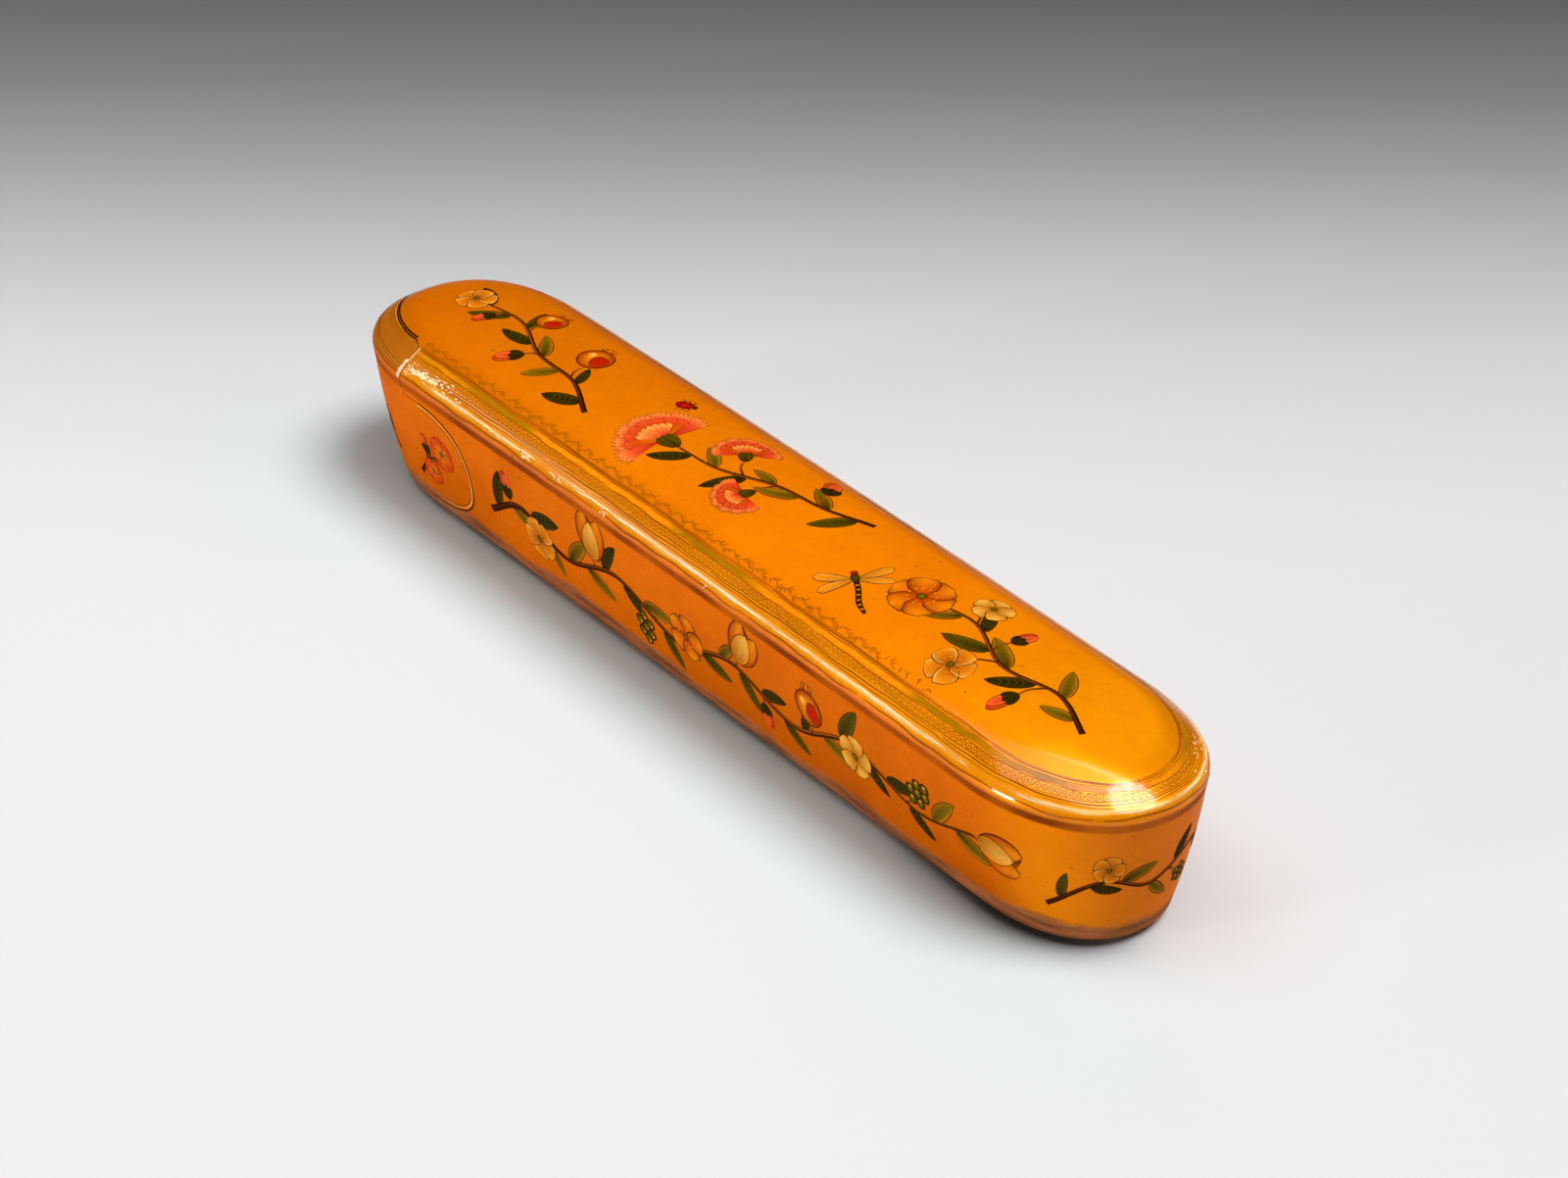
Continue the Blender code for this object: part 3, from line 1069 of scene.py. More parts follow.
LEAF_TINTS = (
    PetalTint(Pigment.DEEP_OLIVE, Pigment.OLIVE, Pigment.MOSS, Pigment.DARK_BROWN),
    PetalTint(Pigment.DEEP_OLIVE, Pigment.DEEP_OLIVE, Pigment.OLIVE, Pigment.DARK_BROWN),
    PetalTint(Pigment.OLIVE, Pigment.MOSS, Pigment.STRAW, Pigment.UMBER),
    PetalTint(Pigment.DEEP_OLIVE, Pigment.MOSS, Pigment.STRAW, Pigment.DARK_BROWN),
)
RED_PETAL = PetalTint(Pigment.AMBER, Pigment.RED, Pigment.PINK, Pigment.DEEP_RED)
PINK_PETAL = PetalTint(Pigment.RED, Pigment.PINK, Pigment.SHELL_PINK, Pigment.DEEP_RED)
PALE_PETAL = PetalTint(Pigment.PINK, Pigment.SHELL_PINK, Pigment.CREAM, Pigment.RED)
WING = PetalTint(Pigment.STRAW, Pigment.AMBER, Pigment.CREAM, Pigment.UMBER)
GOLD_PETAL = PetalTint(Pigment.RUSSET, Pigment.AMBER, Pigment.PALE_GOLD, Pigment.CHESTNUT)
TAN_PETAL = PetalTint(Pigment.OLD_GOLD, Pigment.PALE_GOLD, Pigment.AMBER, Pigment.UMBER)
RUSSET_PETAL = PetalTint(Pigment.RED, Pigment.AMBER, Pigment.RUSSET, Pigment.DARK_BROWN)
GILT_LEAF = PetalTint(Pigment.OLD_GOLD, Pigment.GOLD, Pigment.PALE_GOLD, Pigment.OLD_GOLD)
BROWN_PETAL = PetalTint(Pigment.RUSSET, Pigment.CHESTNUT, Pigment.OLD_GOLD, Pigment.DARK_BROWN)


class Tulip(Motif):
    """A tulip's cup seen from the side."""

    def paint(self, sheet: PaintSheet, at: Place) -> None:
        """Paints back petals, side petals and the front petal.

        Args:
            sheet: The sheet to paint on.
            at: Where it stands.
        """
        sheet.petal(at, (0, 0.4), 97, 9.4, 4.6, BROWN_PETAL, veins=2)
        sheet.petal(at, (0.3, 0.3), 76, 9.2, 4.2, BROWN_PETAL, veins=2)
        sheet.petal(at, (-0.3, 0), 112, 9.8, 4.6, RUSSET_PETAL, bend=-0.22, veins=3)
        sheet.petal(at, (0.3, 0), 66, 9.6, 4.6, RUSSET_PETAL, bend=0.24, veins=3)
        sheet.petal(at, (0, -0.2), 90, 8.4, 5.0, TAN_PETAL, belly=0.45, veins=4)


class Carnation(Motif):
    """A carnation seen from the side: a fan of toothed petals on a green cup."""

    def fan(
        self, sheet: PaintSheet, at: Place, reach: float, spread: float, tint: PetalTint
    ) -> None:
        """Paints one fan of petals.

        Args:
            sheet: The sheet to paint on.
            at: Where the flower stands.
            reach: Length of the petals.
            spread: Half of the fan's angle in degrees.
            tint: Their colours.
        """
        for heading in np.linspace(-spread, spread, 7)[[0, 6, 1, 5, 2, 4, 3]]:
            half = spread / 4.2
            over = np.linspace(-1, 1, 13)
            tooth = 1 + 0.05 * np.where(np.arange(13) % 2, 1, -1) - 0.1 * over**2
            angle = np.radians(90 + heading + half * over)
            ray = np.stack([np.cos(angle), np.sin(angle)], axis=1) * (reach * tooth)[:, None]
            share = np.linspace(0.12, 1, 7)
            cells = share[:, None, None] * ray[None] + (0, 2.6)
            cells = at.to_face(cells)
            tone = tint.heart.linear + (tint.tip.linear - tint.heart.linear) * share[:, None, None]
            rim = smoothstep(0.75, 1.0, share)[:, None, None]
            tone = tone + (tint.edge.linear - tone) * rim
            tone = tone * (1 - 0.2 * np.clip(over, 0, 1))[None, :, None]
            tone = np.broadcast_to(tone, cells.shape[:2] + (3,))
            sheet.rise()
            sheet.grid(cells, tone)
            sheet.rise()
            for column in (3, 6, 9):
                sheet.stroke(cells[1:-1, column], 0.13, tint.line, tint.tip)
            sheet.stroke(cells[-1], 0.17, tint.line, taper=(1, 1))
            sheet.stroke(cells[:, 0], 0.15, tint.line)

    def paint(self, sheet: PaintSheet, at: Place) -> None:
        """Paints the cup and three fans, the widest first.

        Args:
            sheet: The sheet to paint on.
            at: Where it stands.
        """
        self.fan(sheet, at, 8.2, 78, PINK_PETAL)
        self.fan(sheet, at, 6.6, 60, RED_PETAL)
        self.fan(sheet, at, 4.8, 42, PALE_PETAL)
        for heading in (104, 76, 90):
            sheet.petal(at, (0, -0.6), heading, 4.4, 2.1, LEAF_TINTS[0], veins=1)


@dataclass
class Blossom(Motif):
    """An open flower seen from above."""

    petals: int = 5
    tint: PetalTint = PINK_PETAL

    def paint(self, sheet: PaintSheet, at: Place) -> None:
        """Paints the petals, the eye and the stamens.

        Args:
            sheet: The sheet to paint on.
            at: Where it stands.
        """
        for i in range(self.petals):
            heading = 90 + 360 * i / self.petals
            sheet.petal(
                at, (0, 0), heading, 5.2, 5.0, self.tint, belly=0.66, fullness=0.85, veins=4
            )
        sheet.rise()
        for i in range(12):
            angle = 2 * math.pi * i / 12
            tip = np.array([math.cos(angle), math.sin(angle)])
            thread = at.to_face(np.linspace(0.4, 1.85, 5)[:, None] * tip)
            sheet.stroke(thread, 0.16, Pigment.UMBER, Pigment.AMBER)
            sheet.dot(at, tip * 2.15, (0.24, 0.24), Pigment.AMBER, Pigment.STRAW, spokes=8)
        sheet.disc(at, (0, 0), (0.85, 0.85), Pigment.MOSS, Pigment.UMBER)


class Bud(Motif):
    """A closed bud in its green cup."""

    def paint(self, sheet: PaintSheet, at: Place) -> None:
        """Paints the petals and the cup.

        Args:
            sheet: The sheet to paint on.
            at: Where it stands.
        """
        sheet.petal(at, (0, 0), 96, 5.4, 2.6, RED_PETAL, bend=-0.06, veins=2)
        sheet.petal(at, (0, 0), 82, 5.0, 2.2, PINK_PETAL, bend=0.08, veins=1)
        for heading in (118, 62, 90):
            sheet.petal(at, (0, -0.5), heading, 3.0, 1.5, LEAF_TINTS[1], veins=1)


class Pomegranate(Motif):
    """A round fruit with a small crown."""

    def paint(self, sheet: PaintSheet, at: Place) -> None:
        """Paints the crown, the fruit, its blush and its shine.

        Args:
            sheet: The sheet to paint on.
            at: Where it stands.
        """
        for heading in (64, 116, 90):
            sheet.petal(at, (0, 7.0), heading, 2.8, 1.5, RUSSET_PETAL, veins=1)
        sheet.disc(at, (0, 4.0), (3.95, 4.05), Pigment.DARK_BROWN, Pigment.DARK_BROWN, spokes=36)
        sheet.disc(at, (0, 4.0), (3.75, 3.85), Pigment.AMBER, Pigment.RUSSET, spokes=36)
        sheet.disc(at, (1.2, 3.3), (2.0, 2.5), Pigment.RED, Pigment.RUSSET, ragged=0.03)
        sheet.rise()
        for _ in range(26):
            spot = sheet.chance.normal((0.9, 3.4), (1.0, 1.1))
            sheet.dot(at, spot, (0.13, 0.13), Pigment.DEEP_RED, Pigment.DEEP_RED, spokes=6)
        sheet.disc(at, (-1.5, 5.1), (0.9, 1.1), Pigment.CREAM, Pigment.AMBER)


class Berries(Motif):
    """A small cluster of berries."""

    def paint(self, sheet: PaintSheet, at: Place) -> None:
        """Paints each berry with its rim and shine.

        Args:
            sheet: The sheet to paint on.
            at: Where it stands.
        """
        spots = ((0, 1.2), (-1.7, 2.6), (1.6, 2.8), (-0.2, 3.9), (-1.5, 5.2), (1.3, 5.4), (0, 6.8))
        for x, y in spots:
            sheet.disc(at, (x, y), (1.3, 1.3), Pigment.DARK_BROWN, Pigment.DARK_BROWN)
            sheet.disc(at, (x, y), (1.12, 1.12), Pigment.MOSS, Pigment.DEEP_OLIVE)
            shine = (x - 0.35, y + 0.4)
            sheet.disc(at, shine, (0.34, 0.34), Pigment.CREAM, Pigment.STRAW, spokes=10)


class Dragonfly(Motif):
    """A dragonfly seen from above."""

    def paint(self, sheet: PaintSheet, at: Place) -> None:
        """Paints wings, body and head.

        Args:
            sheet: The sheet to paint on.
            at: Where it stands.
        """
        for heading, length in ((18, 8.6), (162, 8.6), (-14, 7.8), (194, 7.8)):
            bend = 0.05 if heading < 90 else -0.05
            sheet.petal(
                at, (0, 0.4), heading, length, 2.3, WING, bend, belly=0.68, veins=3, outline=0.17
            )
        tail = smooth_path([(0, 1.4), (0.15, -3.0), (-0.2, -7.0), (0.5, -10.5)])
        sheet.rise()
        sheet.stroke(at.to_face(tail), 1.15, Pigment.DARK_BROWN, Pigment.UMBER, taper=(1, 0.6))
        sheet.rise()
        for share in np.linspace(0.15, 0.9, 7):
            spot = tail[int(share * (len(tail) - 1))]
            sheet.dot(at, spot, (0.42, 0.2), Pigment.AMBER, Pigment.STRAW, spokes=10)
        sheet.disc(at, (0, 1.0), (0.95, 1.6), Pigment.OLIVE, Pigment.DARK_BROWN)
        sheet.disc(at, (0, 2.8), (0.8, 0.6), Pigment.RED, Pigment.DARK_BROWN)


class Beetle(Motif):
    """A small spotted beetle."""

    def paint(self, sheet: PaintSheet, at: Place) -> None:
        """Paints legs, shell, spots and head.

        Args:
            sheet: The sheet to paint on.
            at: Where it stands.
        """
        for side in (-1, 1):
            for y in (-1.2, 0.1, 1.3):
                knee, foot = (side * 2.3, y + 0.3), (side * 2.9, y - 0.4)
                leg = smooth_path([(side * 1.0, y), knee, foot], 0.4)
                sheet.stroke(at.to_face(leg), 0.2, Pigment.DARK_BROWN)
        sheet.disc(at, (0, 2.2), (0.9, 0.75), Pigment.UMBER, Pigment.DARK_BROWN)
        sheet.disc(at, (0, 0), (1.9, 2.2), Pigment.RED, Pigment.DEEP_RED)
        sheet.rise()
        split = at.to_face([(0, 2.1), (0, 0.7), (0, -0.8), (0, -2.2)])
        sheet.stroke(split, 0.2, Pigment.DARK_BROWN)
        for x, y in ((-0.95, 0.8), (0.95, 0.8), (-0.9, -0.8), (0.9, -0.8)):
            sheet.disc(at, (x, y), (0.34, 0.34), Pigment.DARK_BROWN, Pigment.DARK_BROWN, spokes=10)


@dataclass
class Spray(Motif):
    """A stem with leaves on both sides and flowers on short stalks."""

    stem: Path
    flowers: Sequence[tuple[float, float, float, Motif, float]]
    leaf_every: float = 6.5
    leaf_length: float = 8.0
    stem_width: float = 0.9
    leaves: tuple[PetalTint, ...] = LEAF_TINTS
    bark: tuple[Pigment, Pigment] = (Pigment.DARK_BROWN, Pigment.UMBER)
    shine: tuple[Pigment, Pigment] = (Pigment.CHESTNUT, Pigment.OLD_GOLD)

    def paint(self, sheet: PaintSheet, at: Place) -> None:
        """Paints the stem, the leaves, then each flower.

        A flower is given by its share along the stem, the angle and length of its stalk, what
        it is, and its size.

        Args:
            sheet: The sheet to paint on.
            at: Where the stem's own origin stands.
        """
        path = at.to_face(smooth_path(self.stem))
        self.paint_leaves(sheet, path)
        sheet.layer(STEM_LAYER)
        sheet.stroke(path, self.stem_width, *self.bark, taper=(1.35, 0.5))
        sheet.rise()
        light = path + across(path) * self.stem_width * 0.18
        sheet.stroke(light, self.stem_width * 0.28, *self.shine)
        way = np.degrees(np.arctan2(*np.gradient(path, axis=0).T[::-1]))
        for share, angle, stalk, flower, size in self.flowers:
            i = min(int(share * (len(path) - 1)), len(path) - 1)
            heading = math.radians(way[i] + angle)
            start, aim = path[i], np.array([math.cos(heading), math.sin(heading)])
            drift = math.radians(way[i])
            along = np.array([math.cos(drift), math.sin(drift)])
            tip = start + aim * stalk
            sheet.layer(FLOWER_LAYER)
            if stalk > 0:
                bow = start + aim * stalk * 0.5 + along * stalk * 0.14
                curve, width = smooth_path([start, bow, tip], 0.5), self.stem_width * 0.62
                sheet.stroke(curve, width, self.bark[1], self.shine[1], taper=(1, 0.8))
            flower.paint(sheet, Place(*tip, math.degrees(heading), size))

    def paint_leaves(self, sheet: PaintSheet, path: Array) -> None:
        """Paints leaves by turns on both sides of a path.

        Args:
            sheet: The sheet to paint on.
            path: The stem on its face.
        """
        run = np.concatenate([[0], np.cumsum(np.linalg.norm(np.diff(path, axis=0), axis=1))])
        way = np.degrees(np.arctan2(*np.gradient(path, axis=0).T[::-1]))
        side = 1
        for mark in np.arange(self.leaf_every * 0.6, run[-1] - 1.0, self.leaf_every):
            i = int(np.argmin(np.abs(run - mark)))
            length = self.leaf_length * sheet.chance.uniform(0.75, 1.15)
            angle = side * sheet.chance.uniform(32, 58)
            tint = self.leaves[int(sheet.chance.integers(len(self.leaves)))]
            bend = -side * sheet.chance.uniform(0.05, 0.28)
            at = Place(*path[i], way[i] + angle)
            sheet.layer(3 * (i % 3))
            sheet.petal(
                at, (0, 0), 90, length, length * 0.34, tint, bend, belly=0.42, fullness=1.3, veins=1
            )
            self.paint_veins(sheet, at, length, bend)
            side = -side

    @staticmethod
    def paint_veins(sheet: PaintSheet, at: Place, length: float, bend: float) -> None:
        """Paints a leaf's fine side veins.

        Args:
            sheet: The sheet to paint on.
            at: Where the leaf stands.
            length: The leaf's length.
            bend: How far it curls.
        """
        for share in (0.24, 0.38, 0.52, 0.66):
            root = np.array([-bend * share**2, share]) * length
            for side in (-1, 1):
                tip = root + np.array([side * 0.11, 0.09]) * length
                vein = at.to_face(np.linspace(root, tip, 4))
                sheet.stroke(vein, 0.1, Pigment.MOSS, Pigment.OLIVE)


class Graph:
    """A short hand for building node trees. A Mix node's colours are known by their numbers."""

    MIX_FIRST, MIX_SECOND, MIX_RESULT = 6, 7, 2

    def __init__(self, tree: bpy.types.NodeTree) -> None:
        """Keeps the tree."""
        self.tree = tree

    def node(self, kind: str, inputs: Inputs | None = None, **settings: object) -> bpy.types.Node:
        """Adds a node.

        Args:
            kind: Its type without the ShaderNode prefix.
            inputs: What its inputs get.
            **settings: Properties to set.

        Returns:
            The node.
        """
        made = self.tree.nodes.new(f"ShaderNode{kind}")
        for name, value in settings.items():
            setattr(made, name, value)
        self.fill(made, inputs or {})
        return made

    def fill(self, node: bpy.types.Node, inputs: Inputs) -> None:
        """Links a node's inputs, or sets them.

        Args:
            node: The node.
            inputs: An output socket, a number or a tuple for each, by its name or number.
        """
        for name, value in inputs.items():
            if isinstance(value, Socket):
                self.tree.links.new(value, node.inputs[name])
            else:
                node.inputs[name].default_value = value

    def math(self, operation: str, first: object, second: object = 0.0) -> Socket:
        """The result of a Math node on one or two values."""
        return self.node("Math", {0: first, 1: second}, operation=operation).outputs[0]

    def times(self, *values: object) -> Socket:
        """Multiplies values.

        Args:
            *values: Numbers and sockets.

        Returns:
            Their product.
        """
        product = values[0]
        for value in values[1:]:
            product = self.math("MULTIPLY", product, value)
        return product

    def hypot(self, first: object, second: object) -> Socket:
        """The length of two values at a right angle."""
        squares = [self.math("POWER", value, 2.0) for value in (first, second)]
        return self.math("SQRT", self.math("ADD", *squares))

    def fade(self, distance: object, reach: float) -> Socket:
        """A value that falls off from 1 as a distance above zero grows."""
        beyond = self.math("MAXIMUM", distance, 0.0)
        return self.math("EXPONENT", self.times(beyond, -1 / reach))

    def ramp(
        self, value: object, low: float, high: float, to_low: float = 0.0, to_high: float = 1.0
    ) -> Socket:
        """Eases a value from one range to another.

        Args:
            value: The value.
            low: Where the range starts.
            high: Where it ends.
            to_low: What it becomes at low.
            to_high: What it becomes at high.

        Returns:
            The eased value.
        """
        span = {"From Min": low, "From Max": high, "To Min": to_low, "To Max": to_high}
        made = self.node("MapRange", {"Value": value, **span}, interpolation_type="SMOOTHSTEP")
        return made.outputs["Result"]

    def band(self, value: object, low: float, high: float, soft: float) -> Socket:
        """A mask that is 1 between two values, with soft ends.

        Args:
            value: The value.
            low: Where the band starts.
            high: Where it ends.
            soft: Half the width of its soft ends.

        Returns:
            The mask.
        """
        rise = self.ramp(value, low - soft, low + soft)
        fall = self.ramp(value, high - soft, high + soft, 1.0, 0.0)
        return self.times(rise, fall)

    def mix(self, share: object, first: object, second: object, blend: str = "MIX") -> Socket:
        """Mixes two colours.

        Args:
            share: How much of the second.
            first: A colour or its socket.
            second: A colour or its socket.
            blend: The way of mixing.

        Returns:
            The mixed colour.
        """
        tones = [v if isinstance(v, Socket) else (*map(float, v), 1.0) for v in (first, second)]
        inputs = {"Factor": share, self.MIX_FIRST: tones[0], self.MIX_SECOND: tones[1]}
        made = self.node("Mix", inputs, data_type="RGBA", blend_type=blend)
        return made.outputs[self.MIX_RESULT]

    def noise(
        self, place: Socket, scale: float, detail: float = 3.0, rough: float = 0.55
    ) -> Socket:
        """The value of a noise texture, with its scale, its finer layers and their strength."""
        inputs = {"Vector": place, "Scale": scale, "Detail": detail, "Roughness": rough}
        return self.node("TexNoise", inputs).outputs["Fac"]

    def cells(self, place: Socket, feature: str, scale: float) -> Socket:
        """The distance that a cell texture measures."""
        made = self.node("TexVoronoi", {"Vector": place, "Scale": scale}, feature=feature)
        return made.outputs["Distance"]

    def swing(self, value: object, reach: float) -> Socket:
        """Moves a value from about a half to about zero, and scales it."""
        return self.times(self.math("SUBTRACT", value, 0.5), reach)

    def where(self) -> Socket:
        """The place on the object, in metres."""
        return self.node("TexCoord").outputs["Object"]

    def axes(self) -> tuple[Socket, ...]:
        """X, Y and Z of the place on the object, in metres."""
        return tuple(self.node("SeparateXYZ", {0: self.where()}).outputs)

    def mark(self, name: str, output: str = "Fac") -> Socket:
        """Reads an attribute of the mesh."""
        return self.node("Attribute", attribute_name=name).outputs[output]


SPECK: Colour = (0.10, 0.03, 0.006)


def aged_varnish() -> bpy.types.NodeTree:
    """The node group that ages a varnish with mottling, specks, ripple and fine cracks.

    Returns:
        The node tree, made at its first use.
    """
    name = "aged_varnish"
    found = bpy.data.node_groups.get(name)
    if found:
        return found
    tree = bpy.data.node_groups.new(name, "ShaderNodeTree")
    sides = (
        ("INPUT", "NodeSocketColor", ("Colour",)),
        ("INPUT", "NodeSocketVector", ("Place",)),
        ("INPUT", "NodeSocketFloat", ("Mottle", "Specks", "Gloss")),
        ("OUTPUT", "NodeSocketColor", ("Colour",)),
        ("OUTPUT", "NodeSocketFloat", ("Roughness", "Height")),
    )
    for side, kind, labels in sides:
        for label in labels:
            tree.interface.new_socket(name=label, in_out=side, socket_type=kind)
    graph = Graph(tree)
    given = tree.nodes.new("NodeGroupInput")
    out = tree.nodes.new("NodeGroupOutput")
    place = given.outputs["Place"]
    fine = graph.noise(place, 420, 3, 0.6)
    broad = graph.swing(graph.noise(place, 34, 4, 0.6), 1.0)
    sway = graph.math("ADD", broad, graph.swing(fine, 0.5))
    factor = graph.math("ADD", graph.times(sway, given.outputs["Mottle"]), 1.0)
    warm = graph.math("POWER", factor, 1.7)
    tone = graph.node("CombineXYZ", {"X": factor, "Y": warm, "Z": warm}).outputs[0]
    tinted = graph.node("VectorMath", {0: given.outputs["Colour"], 1: tone}, operation="MULTIPLY")
    rare = graph.ramp(graph.noise(place, 90, 1), 0.56, 0.68)
    dots = graph.ramp(graph.cells(place, "F1", 230), 0.05, 0.11, 1.0, 0.0)
    speck = graph.times(dots, rare, given.outputs["Specks"])
    rub = graph.ramp(graph.noise(place, 60, 4, 0.65), 0.35, 0.75, 0.0, 0.14)
    crack = graph.cells(place, "DISTANCE_TO_EDGE", 150)
    groove = graph.ramp(crack, 0.0, 0.03, 0.0, 0.12)
    ripple = graph.math("ADD", graph.noise(place, 75, 2), graph.times(fine, 0.22))
    aged = {
        "Colour": graph.mix(speck, tinted.outputs[0], SPECK),
        "Roughness": graph.math("ADD", given.outputs["Gloss"], rub),
        "Height": graph.math("ADD", ripple, groove),
    }
    graph.fill(out, aged)
    return tree


@dataclass(frozen=True)
class Finish:
    """A finish: its name and the plain numbers of its shader."""

    name: str
    metallic: float = 0.0
    specular: float = 0.5
    coat: float = 0.0
    coat_roughness: float = 0.05
    glint: Colour = (1.0, 1.0, 1.0)
    bump: float = 0.1
    bump_mm: float = 0.1
    mottle: float = 0.2
    specks: float = 0.0
    gloss: float = 0.25

    def colour(self, graph: Graph) -> object:
        """The colour before ageing, as a socket or a tuple."""
        raise NotImplementedError

    def make(self) -> bpy.types.Material:
        """The material, made at its first use.

        Returns:
            The material.
        """
        found = bpy.data.materials.get(self.name)
        if found:
            return found
        made = bpy.data.materials.new(self.name)
        made.use_nodes = True
        graph = Graph(made.node_tree)
        shader = made.node_tree.nodes["Principled BSDF"]
        ageing = {
            "Colour": self.colour(graph),
            "Place": graph.where(),
            "Mottle": self.mottle,
            "Specks": self.specks,
            "Gloss": self.gloss,
        }
        aged = graph.node("Group", ageing, node_tree=aged_varnish()).outputs
        relief = {"Strength": self.bump, "Distance": self.bump_mm * MM, "Height": aged["Height"]}
        looks = {
            "Base Color": aged["Colour"],
            "Roughness": aged["Roughness"],
            "Normal": graph.node("Bump", relief).outputs["Normal"],
            "Metallic": self.metallic,
            "Specular IOR Level": self.specular,
            "Specular Tint": (*self.glint, 1.0),
            "Coat Weight": self.coat,
            "Coat Roughness": self.coat_roughness,
        }
        graph.fill(shader, looks)
        self.lay_coat(graph, shader)
        return made

    def lay_coat(self, graph: Graph, shader: bpy.types.Node) -> None:
        """Varies the clear coat where a finish needs that, by default nowhere."""


VEILED: Span = (0.088, 0.1)


@dataclass(frozen=True)
class AmberLacquer(Finish):
    """Orange ground under amber varnish, gilt along the edge, worn brown at the base, with painted
    highlight and shade.

    Spans along X and Z are in metres, and spans of the zone across the edge in millimetres.
    """

    roof: Screen = (254, 134, 2)
    near_roof: Screen = (255, 150, 3)
    wall: Screen = (236, 113, 1)
    near_wall: Screen = (255, 140, 4)
    # Darkens the walls in clouds and low down, and is painted shade at both ends.
    stain_and_shade: Screen = (176, 72, 2)
    gilt: Screen = (252, 150, 14)
    near_gilt: Screen = (255, 154, 10)
    # ridge: the ridge's rubbed pale gilding, with a painted highlight in it.
    ridge: Screen = (255, 206, 120)
    band: Screen = (138, 58, 7)
    base: Screen = (188, 110, 66)
    base_dark: Screen = (130, 77, 46)
    # The tone the roof darkens to towards the pull end.
    pull_end_dark: Colour = (0.30, 0.03, 0.0)
    shade: Colour = (0.35, 0.06, 0.0)
    glint: Colour = (1.0, 0.45, 0.04)
    dark_end: float = 0.64
    gilt_reach: float = 4.0
    gilding: float = 0.28
    glow: float = 0.25
    near_end: Span = (0.086, 0.106)
    near_tip_shade: Span = (0.105, 0.117)
    pull_tip_shade: Span = (-0.117, -0.09)
    pull_end_dark_span: Span = (-0.115, 0.03)
    gilt_turn: Span = (-0.06, 0.03)
    roof_turn: Span = (0.04, 0.108)
    foot: Span = (0.0046, 0.0068)
    over_edge: Span = (-0.5, 1.0)
    past_border: Span = (5.4, 6.4)

    def colour(self, graph: Graph) -> Socket:
        """Lays the ground, the border's zones over it with their painted highlight and shade, and
        the worn foot.

        Args:
            graph: The material's tree.

        Returns:
            The colour.
        """
        place, (x, y, z) = graph.where(), graph.axes()
        wobble = graph.swing(graph.noise(place, 140, 3), 0.5)
        zone = graph.math("ADD", graph.mark("zone"), wobble)
        over = graph.ramp(zone, *self.over_edge)
        turn = graph.ramp(x, *self.roof_turn)
        roof = graph.mix(turn, srgb(*self.roof), srgb(*self.near_roof))
        tone = graph.mix(over, self.wall_tone(graph, place, x, z), roof)
        # The roof darkens towards the pull end.
        pull_end_dark = graph.times(graph.ramp(x, *self.pull_end_dark_span, 1.0 - self.dark_end, 0.0), over)
        tone = graph.mix(pull_end_dark, tone, self.pull_end_dark)
        turn = graph.ramp(x, *self.gilt_turn)
        gilt = graph.mix(turn, srgb(*self.gilt), srgb(*self.near_gilt))
        patchy = graph.ramp(graph.noise(place, 45, 3), 0.32, 0.6, 0.5, 1.0)
        rubbed_and_glint = graph.ramp(graph.noise(place, 60, 5), 0.36, 0.58)
        shaded = graph.ramp(y, 0.0, 0.014, 0.14, 0.38)
        # Over the ground: the gilt, the brown band under the ridge, the ridge's rubbed gilding with
        # a painted highlight, and painted shade inside the border, deeper towards the back.
        for low, high, soft, share, laid in (
            (0.5, self.gilt_reach, 0.12, 1.0, gilt),
            (-1.8, 0.0, 0.4, patchy, srgb(*self.band)),
            (0.85, 1.4, 0.18, rubbed_and_glint, srgb(*self.ridge)),
            (5.0, 8.4, 1.8, shaded, self.shade),
        ):
            tone = graph.mix(graph.times(graph.band(zone, low, high, soft), share), tone, laid)
        uneven = graph.swing(graph.noise(place, 38, 5, 0.7), 0.0075)
        low = graph.ramp(graph.math("ADD", z, uneven), *self.foot, 1.0, 0.0)
        return graph.mix(low, tone, self.foot_tone(graph, place))

    def wall_tone(self, graph: Graph, place: Socket, x: Socket, z: Socket) -> Socket:
        """Stains the walls in clouds, darkens them towards the bottom, and paints shade at both
        ends where they turn from the light.

        Args:
            graph: The material's tree.
            place: The place on the object.
            x: The place along it.
            z: The height on it.

        Returns:
            The colour.
        """
        near = graph.ramp(x, *self.near_end)
        tone = graph.mix(near, srgb(*self.wall), srgb(*self.near_wall))
        cloud = graph.ramp(graph.noise(place, 30, 3, 0.6), 0.38, 0.66, 0.0, 0.36)
        # Darker towards the bottom of the walls.
        low = graph.ramp(z, 0.006, 0.024, 0.3, 0.0)
        low = graph.times(low, graph.ramp(x, -0.03, 0.07, 0.1, 1.0))
        less = graph.ramp(near, 0.0, 1.0, 1.0, 0.25)
        for share in (
            graph.times(cloud, less),
            graph.times(low, less),
            # Painted shade at both ends, where the walls turn from the light.
            graph.ramp(x, *self.near_tip_shade, 0.0, 0.45),
            graph.ramp(x, *self.pull_tip_shade, 0.5, 0.0),
        ):
            tone = graph.mix(share, tone, srgb(*self.stain_and_shade))
        return tone

    def foot_tone(self, graph: Graph, place: Socket) -> Socket:
        """Streaks the worn foot.

        Args:
            graph: The material's tree.
            place: The place on the object.

        Returns:
            The colour.
        """
        streaks = graph.node("Mapping", {"Vector": place, "Scale": (0.25, 0.25, 2.0)}).outputs[0]
        worn = graph.ramp(graph.noise(streaks, 260, 4, 0.65), 0.36, 0.64)
        return graph.mix(worn, srgb(*self.base), srgb(*self.base_dark))

